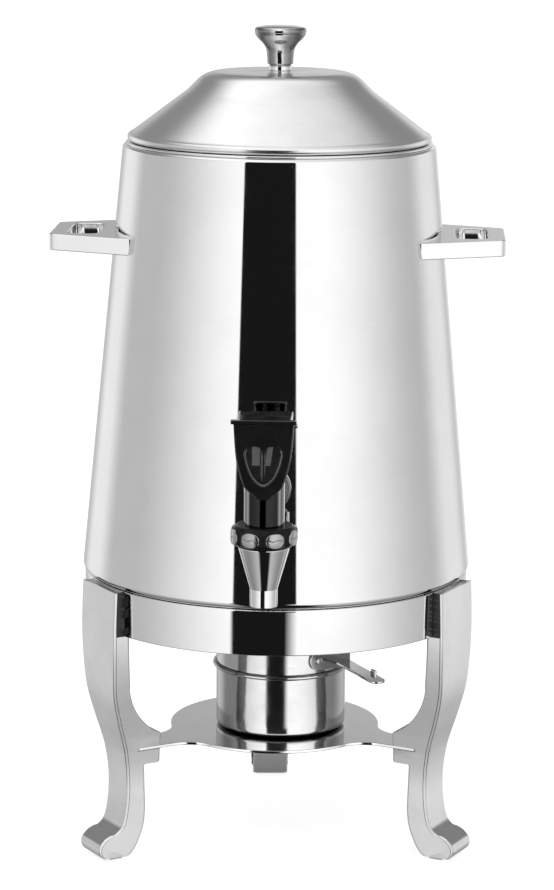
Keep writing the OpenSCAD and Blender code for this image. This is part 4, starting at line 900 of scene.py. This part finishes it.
# holder: turned cup and cover of one sheet, and a strip bent from plates that are turned to the rivet
def makeHolder(s):
    r, t, bead = s.radius, s.wall, s.floor + s.height
    inner = r - t
    cup = np.vstack((
        roundLine([(0, s.floor, 0), (r, s.floor, s.foot), (r, bead - 1.9, 0.8)], closed=False, steps=10),
        arcLine(inner + s.bead, bead, s.bead, -62, 180, 24),
        roundLine([(inner, bead - 0.6, 0), (inner, s.floor + t, s.foot - t), (0, s.floor + t, 0)],
                  closed=False, steps=8)))
    # painted shade on both sides of the wall and a painted shadow line at the foot
    shell = turned(cup, 160, (s.x, 0))
    makePiece("cupShell", [shell], "holder", "cupSteel", "polished_steel", ["fuel_cup"],
              shade=[paintedSideShade(shell[0])])
    low, top, spigot = bead + s.bead, bead + s.coverHigh, inner - t - 0.3
    cover = roundLine([
        (spigot, bead - s.spigotDown, 0.3), (spigot + t, bead - s.spigotDown, 0.3), (spigot + t, low, 0),
        (r, low, 0.35), (r, top, 1.2), (s.flame, top, 0.35), (s.flame, top - t, 0.35), (inner, top - t, 0.5),
        (inner, low + t, 0.2), (spigot, low + t, 0.2)])
    shell = turned(cover, 160, (s.x, 0))
    # the cover gets a weaker copy of the cup's painted shade
    makePiece("coverShell", [shell], "cover", "cupSteel", "polished_steel", ["cover_cap"],
              shade=[paintedSideShade(shell[0]) * s.coverTint])
    # strip: an upright tab on the wall, then the level grip with a thumb stop
    tabHigh, tabLong = s.coverHigh - s.bead - 3, 26.0
    tabLow, rivetLevel = low + 2, bead + s.coverHigh * 0.62
    gripLevel, thick, wide = tabLow + 2.5, s.stripThick, s.strip
    tabLine = np.vstack((arcLine(0, rivetLevel, tabHigh / 2 + 0.4, 100, 270, 20),
                         [[tabLong, tabLow], [tabLong, tabLow + tabHigh - 1]]))
    tab = plate(tabLine, r, r + thick, 0.35, "yz", 3)
    gripLine = np.vstack((arcLine(s.stripLong - wide / 2, 0, wide / 2, -90, 90, 24),
                          [[-4, wide / 2], [-4, -wide / 2]]))
    grip = plate(gripLine, gripLevel, gripLevel + thick, 0.35, "xy", 3)
    stop = plate(rectangle(33.5, 39.5, 3.6, 5.6, 0.6, 0.6), gripLevel + 0.4, gripLevel + 4.2, 0.5, "xy", 3)
    shift = np.array([r + thick, tabLong - wide / 2, 0])
    place = np.array([s.x, 0, 0])

    # shells turned to the rivet's place on the wall
    def onWall(shells):
        return [(turnedBy(points, s.rivetTurn - 90) + place, faces) for points, faces in shells]

    shells = onWall([tab] + [(turnedBy(points, -9) + shift, faces) for points, faces in (grip, stop)])
    makePiece("stripGrip", shells, "cover", "brushedSteel", "polished_steel", ["cover_handle"])
    face, back = r + thick, r - s.wall
    head = roundLine([(0, face + 1.4, 0), (2.2, face + 1.1, 1.2), (3.1, face, 0.4), (0, face, 0)],
                     closed=False)
    tail = roundLine([(0, back, 0), (3.0, back, 0.3), (2.4, back - 1, 0.5), (0, back - 1, 0)], closed=False)
    makePiece("coverRivetHeads", onWall([turned(line, 48, (0, rivetLevel), "x") for line in (head, tail)]),
              "cover", "turnedSteel", "plain_steel", ["cover_rivet"])


makeHolder(named(holderSet))
print("holder made")


# tap: barrel on a neck, bonnet, outlet cone, padded grip ring and lever

tapSet = {"y": -166.006, "shank": 265.5, "barrel": 12.65, "bore": 9.0, "top": 296.0, "low": 250.2,
          "ringLow": 237.0, "coneTop": 16.5, "spoutLevel": 209.5, "outlet": 198.0, "spout": 8.7,
          "spoutBore": 6.0, "neck": 10.0, "flange": 15.0, "flangeThick": 5.0, "gasket": 3.5,
          "shankRadius": 8.0, "shankEnd": -103.0, "ringRadius": 21.0, "bonnetHigh": 9.0, "pinOut": 8.0,
          "pinUp": 15.4, "earOut": 10.5, "earHalf": 1.5, "earRound": 2.4, "pads": 8, "faceLight": 0.03,
          "streak": (0.6, 0.78, 0.06), "edgeLight": 0.9, "backShade": 0.3, "neckShade": 0.75}


# barrel's painted reflection: its front is painted dark for the lever's black back that it mirrors, but for a
# painted highlight streak near each side and at the very edges; light = face + streak * exp(-((share of the
# radius - place) / width)^2) + edge * share^20
def makeTap(s):
    y, at = s.y, (0, s.y)
    barrel = roundLine([(s.bore, s.low, 0), (s.barrel, s.low, 0.4), (s.barrel, s.top, 0.3),
                        (s.bore, s.top, 0)])
    back, start = -(bodyRadius(s.shank) + s.gasket), y + s.bore + 1
    front = back - s.flangeThick
    neck = roundLine([(0, start, 0), (s.neck, start, 0), (s.neck, front, 1.5), (s.flange, front, 1.4),
                      (s.flange, back, 0.6), (s.shankRadius, back, 0), (s.shankRadius, s.shankEnd, 0.6),
                      (0, s.shankEnd, 0)], closed=False)
    shells = [turned(barrel, 128, at), turned(neck, 128, (0, s.shank), "y")]
    place = shells[0][0]
    across = np.abs(place[:, 0]) / s.barrel
    strength, middle, width = s.streak
    light = s.faceLight + strength * np.exp(-((across - middle) / width) ** 2) + s.edgeLight * across ** 20
    # the barrel's back and the neck with its flange get an even painted shade
    shade = np.where(place[:, 1] < y, 1 - light, s.backShade)
    makePiece("tapBarrel", shells, "urn", "shadedChrome", "chrome", ["tap_body"],
              shade=[shade, np.full(len(shells[1][0]), s.neckShade)])
    low, bore = s.low - 0.02, s.bore - 0.02
    cone = roundLine([
        (s.spoutBore, s.outlet, 0.4), (s.spout, s.outlet, 0.5), (s.spout, s.spoutLevel, 0.6),
        (s.coneTop, s.ringLow, 0.7), (s.barrel, s.ringLow, 0), (s.barrel, low, 0), (bore, low, 0),
        (bore, s.low + 7, 0.3), (s.spoutBore, s.low + 7, 0.3)])
    makePiece("coneOutlet", [turned(cone, 128, at)], "urn", "chromePlate", "chrome", ["outlet_cone"])
    top, high = s.top + 0.02, s.top + s.bonnetHigh
    bonnet = roundLine([(0, top, 0), (s.barrel - 0.1, top, 0.3), (s.barrel - 0.4, high, 0.8), (0, high, 0)],
                       closed=False)
    pinY, pinZ, r = y + s.pinOut, s.top + s.pinUp, s.earRound
    ear = np.vstack((arcLine(pinY, pinZ, r, 0, 180, 15), [[pinY - r, high - 1], [pinY + r, high - 1]]))
    shells = [turned(bonnet, 96, at)]
    for side in (-s.earOut, s.earOut):
        shells.append(plate(ear, side - s.earHalf, side + s.earHalf, 0.3, "yz", 3))
    makePiece("bonnetTop", shells, "urn", "chromePlate", "chrome", ["bonnet_cap"])


makeTap(named(tapSet))


# grip ring: rounded band whose radius dips between the pads; dip = depth times exp(-(arc distance / width)^2)
def makeGripRing(s):
    low, high, out, inn = s.ringLow, s.low, s.ringRadius, s.barrel + 0.25
    dipDeep, dipWide, slope = 0.9, 1.9, 3.4
    line = roundLine([(inn, low + 0.02, 0), (out - slope, low + 0.02, 0.6), (out, low + 3, 2.2),
                      (out, high - 3, 2.2), (out - slope, high, 0.6), (inn, high, 0)], steps=5, hold=0.6)
    count = 320
    t = 2 * math.pi * np.arange(count) / count
    pitch = 2 * math.pi / s.pads
    far = ((t + pitch / 2) % pitch - pitch / 2) * out
    dip = dipDeep * np.exp(-(far / dipWide) ** 2)
    r = line[None, :, 0] - dip[:, None] * np.clip((line[None, :, 0] - out + slope) / slope, 0, 1)
    grid = np.stack((r * np.cos(t)[:, None], s.y + r * np.sin(t)[:, None],
                     np.broadcast_to(line[None, :, 1], r.shape)), -1)
    makePiece("gripBand", [gridShell(grid)], "urn", "ringBlack", "black_plastic", ["grip_ring"])
    # pads: discs bent round the ring; outline |cos|^0.8, |sin|^0.8, crowned face with a fine groove across
    # its middle
    halfWide, halfHigh, power, crownHigh, mid = 6.1, 4.7, 0.8, 0.35, (low + high) / 2
    a = 2 * math.pi * np.arange(64) / 64
    ox = halfWide * np.sign(np.cos(a)) * np.abs(np.cos(a)) ** power
    oz = halfHigh * np.sign(np.sin(a)) * np.abs(np.sin(a)) ** power
    share = np.concatenate((np.linspace(0, 0.9, 18), [0.95, 0.985, 1.0, 1.0, 1.0]))
    drop = np.concatenate((np.zeros(18), [0.05, 0.16, 0.38, 0.6, 2.3]))
    side, rise = np.outer(ox, share), np.outer(oz, share)
    groove = 0.3 * np.exp(-((rise - 0.4 * np.sin(0.9 * side)) / 0.34) ** 2) * (share < 0.97)[None, :]
    crown = crownHigh * (1 - share[None, :] ** 2)
    radius = out + 0.05 + crown - drop[None, :] - groove
    shells = []
    for k in range(s.pads):
        turn = pitch * (k + 0.5) + side / out
        grid = np.stack((radius * np.cos(turn), s.y + radius * np.sin(turn), mid + rise), -1)
        shells.append(cappedShell(grid))
    makePiece("gripPads", shells, "urn", "padSteel", "chrome", ["ring_pads"])


makeGripRing(named(tapSet))
print("tap made")


# lever: shield with a heart-shaped recess, hood cheeks, top flange and fork

leverSet = {"front": -184.056, "back": -152.006, "low": 316.8, "top": 319.4, "plate": 318.1, "wall": 3.0,
            "high": 47.8, "half": 18.7, "lowHalf": 12.5, "flange": 20.3, "hood": 1.8, "cheek": 14.25,
            "recess": 1.0, "edge": 1.1, "pinZ": 311.4, "pinY": -158.006, "pinRadius": 1.5, "pinHalf": 20.0,
            "middle": 292.0, "heartTop": 303.5}


# shield outline, half width against height, from the bottom up
def shieldHalf():
    s = named(leverSet)
    low, r = s.low - s.high, s.lowHalf * 0.62
    return np.vstack((arcLine(0, low + r, r, -90, -35, 9),
                      smoothLine([[s.lowHalf - 0.4, low + 8.5], [s.lowHalf + 1.8, low + 15],
                                  [s.half - 1.6, low + 27], [s.half, s.low]], 8)))


# right half of the heart, smaller by d: a notch, a round lobe and a curve down to the tip
def heartHalf(d):
    top, r = leverSet["heartTop"], 5.7 - d
    lobe = arcLine(6.1, top - 5.6, r, 145, -20, 20)
    tip = smoothLine([lobe[-1], [10.2 - d, top - 12.8], [7.5 - d, top - 19.2],
                      [4.2 - d * 0.8, top - 23.3 + d * 0.5], [1.4 - d * 0.3, top - 25.2 + d],
                      [0, top - 25.4 + d]], 6)
    return np.vstack(([[0, top - 2.4 - d]], lobe, tip[1:]))


# outline as a distance from one middle point, read at the given directions
def outlineAt(half, directions):
    middle = np.array([0, leverSet["middle"]])
    whole = np.vstack((half, (half * [-1, 1])[::-1])) - middle
    angle = np.arctan2(whole[:, 1], whole[:, 0])
    order = np.argsort(angle)
    a, r = angle[order], np.linalg.norm(whole, axis=1)[order]
    return np.interp(directions, np.concatenate((a - 2 * math.pi, a, a + 2 * math.pi)), np.tile(r, 3))


# lever's shield: for each direction from its middle a row of points, first by shares of the heart's
# distance, then by shares of the way on to the outline, then over a quarter circle and round the back rim
def makeLever(s):
    a = np.linspace(-math.pi, math.pi, 360, endpoint=False)
    corner = math.atan2(s.low - s.middle, s.half)
    a = np.sort(np.concatenate((a, [corner, math.pi - corner])))
    upper = np.column_stack((np.linspace(s.half, 0, 12)[1:], np.full(11, s.low)))
    outer = outlineAt(np.vstack((shieldHalf(), upper)), a)
    heart = outlineAt(heartHalf(0), a)
    e, front, deep = s.edge, s.front, s.recess
    # (share of the heart, depth behind the front)
    sunk = [(k, deep) for k in np.linspace(0, 0.9, 6)]
    sunk += [(0.955, deep), (0.975, deep - 0.1), (1.0, 0.28), (1.012, 0.1), (1.035, 0.0), (1.06, 0.0)]
    start, end = heart * sunk[-1][0], outer - e - 0.3
    onward = [start + (end - start) * k for k in np.linspace(0.12, 1, 8)]
    radial = [heart * k for k, _ in sunk] + onward
    depth = [d for _, d in sunk] + [0.0] * len(onward)
    # (inset from the outline, depth behind the front)
    rim = [(e * (1 - math.sin(q)), e * (1 - math.cos(q))) for q in np.radians(np.linspace(0, 90, 6))]
    rim += [(0.0, s.wall - 0.4), (0.4, s.wall), (1.0, s.wall)]
    radial = np.array(radial + [outer - inset for inset, _ in rim]).T
    depth = np.broadcast_to(front + np.array(depth + [d for _, d in rim]), radial.shape)
    grid = np.stack((radial * np.cos(a)[:, None], depth, s.middle + radial * np.sin(a)[:, None]), -1)
    shells = [cappedShell(grid)]
    # cheeks: side outline between the cavity and the shield's own width at each height, set in a little
    near, cheekTop, cheekLow = front + s.wall, s.low + 0.5, s.low - 34
    cheek = roundLine([(near - 0.5, cheekTop, 0), (near - 0.5, cheekLow, 0), (near + 0.5, cheekLow, 0),
                       (tapSet["y"], s.low - 14, 3), (s.back, s.low - 10, 1), (s.back, cheekTop, 0)])
    half = shieldHalf()
    for side in (-1, 1):
        points, faces = plate(cheek, 0, 1, 0.001, "yz", 2, 0.3)
        width = np.interp(points[:, 2], half[9:, 1], half[9:, 0]) - s.hood
        share = np.clip(points[:, 0], 0, 1)
        points[:, 0] = side * (s.cheek + share * (np.maximum(width, s.cheek + 0.05) - s.cheek))
        shells.append((points, faces))
    # top: U-shaped wall under a plate, and the wider bar along the front
    w, c = s.half - s.hood, s.cheek
    wall = roundLine([(-w, front + 1, 0), (w, front + 1, 0), (w, s.back, 0.8), (c, s.back, 0.3),
                      (c, near, 0.5), (-c, near, 0.5), (-c, s.back, 0.3), (-w, s.back, 0.8)])
    shells.append(plate(wall, s.low - 0.4, s.plate + 0.4, 0.1))
    shells.append(plate(rectangle(-w, w, front + 1, s.back, 0.5, 0.8), s.plate, s.top - 0.02, 0.5))
    bar = rectangle(-s.flange, s.flange, front - 1, near + 0.5, 0.8, 0.8)
    shells.append(plate(bar, s.low, s.top, 0.45))
    # fork that holds the stem's cross pin
    fork = rectangle(tapSet["y"] - 4.9, tapSet["y"] + 3.7, s.pinZ - 3.6, s.plate + 0.3, 0.6, 0)
    for side in (-1, 1):
        shells.append(plate(fork, side * 5.65 - 1.35, side * 5.65 + 1.35, 0.2, "yz", 2))
    makePiece("leverShield", shells, "lever", "glossBlack", "black_plastic", ["tap_lever"], sharp=42)
    # inlay: two soft lobes with a groove between them, sunk in the recess
    inside = outlineAt(heartHalf(0.25), a)
    share = np.concatenate((np.linspace(0, 0.94, 22), [0.97, 0.99, 1.0]))
    radial = inside[:, None] * share[None, :]
    x, z = radial * np.cos(a)[:, None], s.middle + radial * np.sin(a)[:, None]
    lobe = 0.42 * (1 - np.clip(share, 0, 1)[None, :] ** 4) * (1 - np.exp(-(x / 1.3) ** 2) * 0.8)
    face = np.stack((x, front + deep - 0.12 - lobe * 0.9, z), -1)
    rim = face[:, -1:].copy()
    rim[..., 1] = front + deep - 0.01
    face = np.concatenate((face, rim), 1)
    points, faces = cappedShell(face)
    # painted highlights: two paler facets in the upper half and pale lower edges
    rise = s.heartTop - points[:, 2]
    facet = ((np.abs(points[:, 0] + 4.6) < 2.4) | (np.abs(points[:, 0] - 4.4 + 0.14 * rise) < 1.7))
    facet = facet & (rise > 0.8) & (rise < 12.5)
    edge = np.broadcast_to(np.append(share > 0.96, True), face.shape[:2]).ravel() & (rise > 3)
    paintedGlint = np.where(edge, 0.9, np.where(facet, 0.42, 0.0))
    makePiece("heartInlay", [(points, faces)], "lever", "inlayBlack", "black_plastic", ["lever_inlay"], 50,
              shade=[paintedGlint])
    w = s.pinHalf
    pin = roundLine([(0, -w, 0), (s.pinRadius, -w, 0.4), (s.pinRadius, w, 0.4), (0, w, 0)], closed=False)
    makePiece("leverAxle", [turned(pin, 48, (s.pinY, s.pinZ), "x")], "urn", "turnedSteel", "plain_steel",
              ["lever_pin"])


makeLever(named(leverSet))
print("lever made")


# inner pieces and fasteners keep their own shape and get a finish

plainNodes = {
    "turnedSteel": ["leg_screws", "tray_screws", "handle_screws", "knob_screw", "shank_spacer", "shank_nut",
                    "valve_stem", "stem_pin", "stem_spring"],
    "mattRubber": ["knob_washer", "wall_gasket"],
    "milkySilicone": ["tank_gasket", "seat_cup"],
}
for finish, nodes in plainNodes.items():
    for node in nodes:
        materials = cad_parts[node].data.materials
        if not materials:
            materials.append(None)
        for k in range(len(materials)):
            materials[k] = finishes[finish]
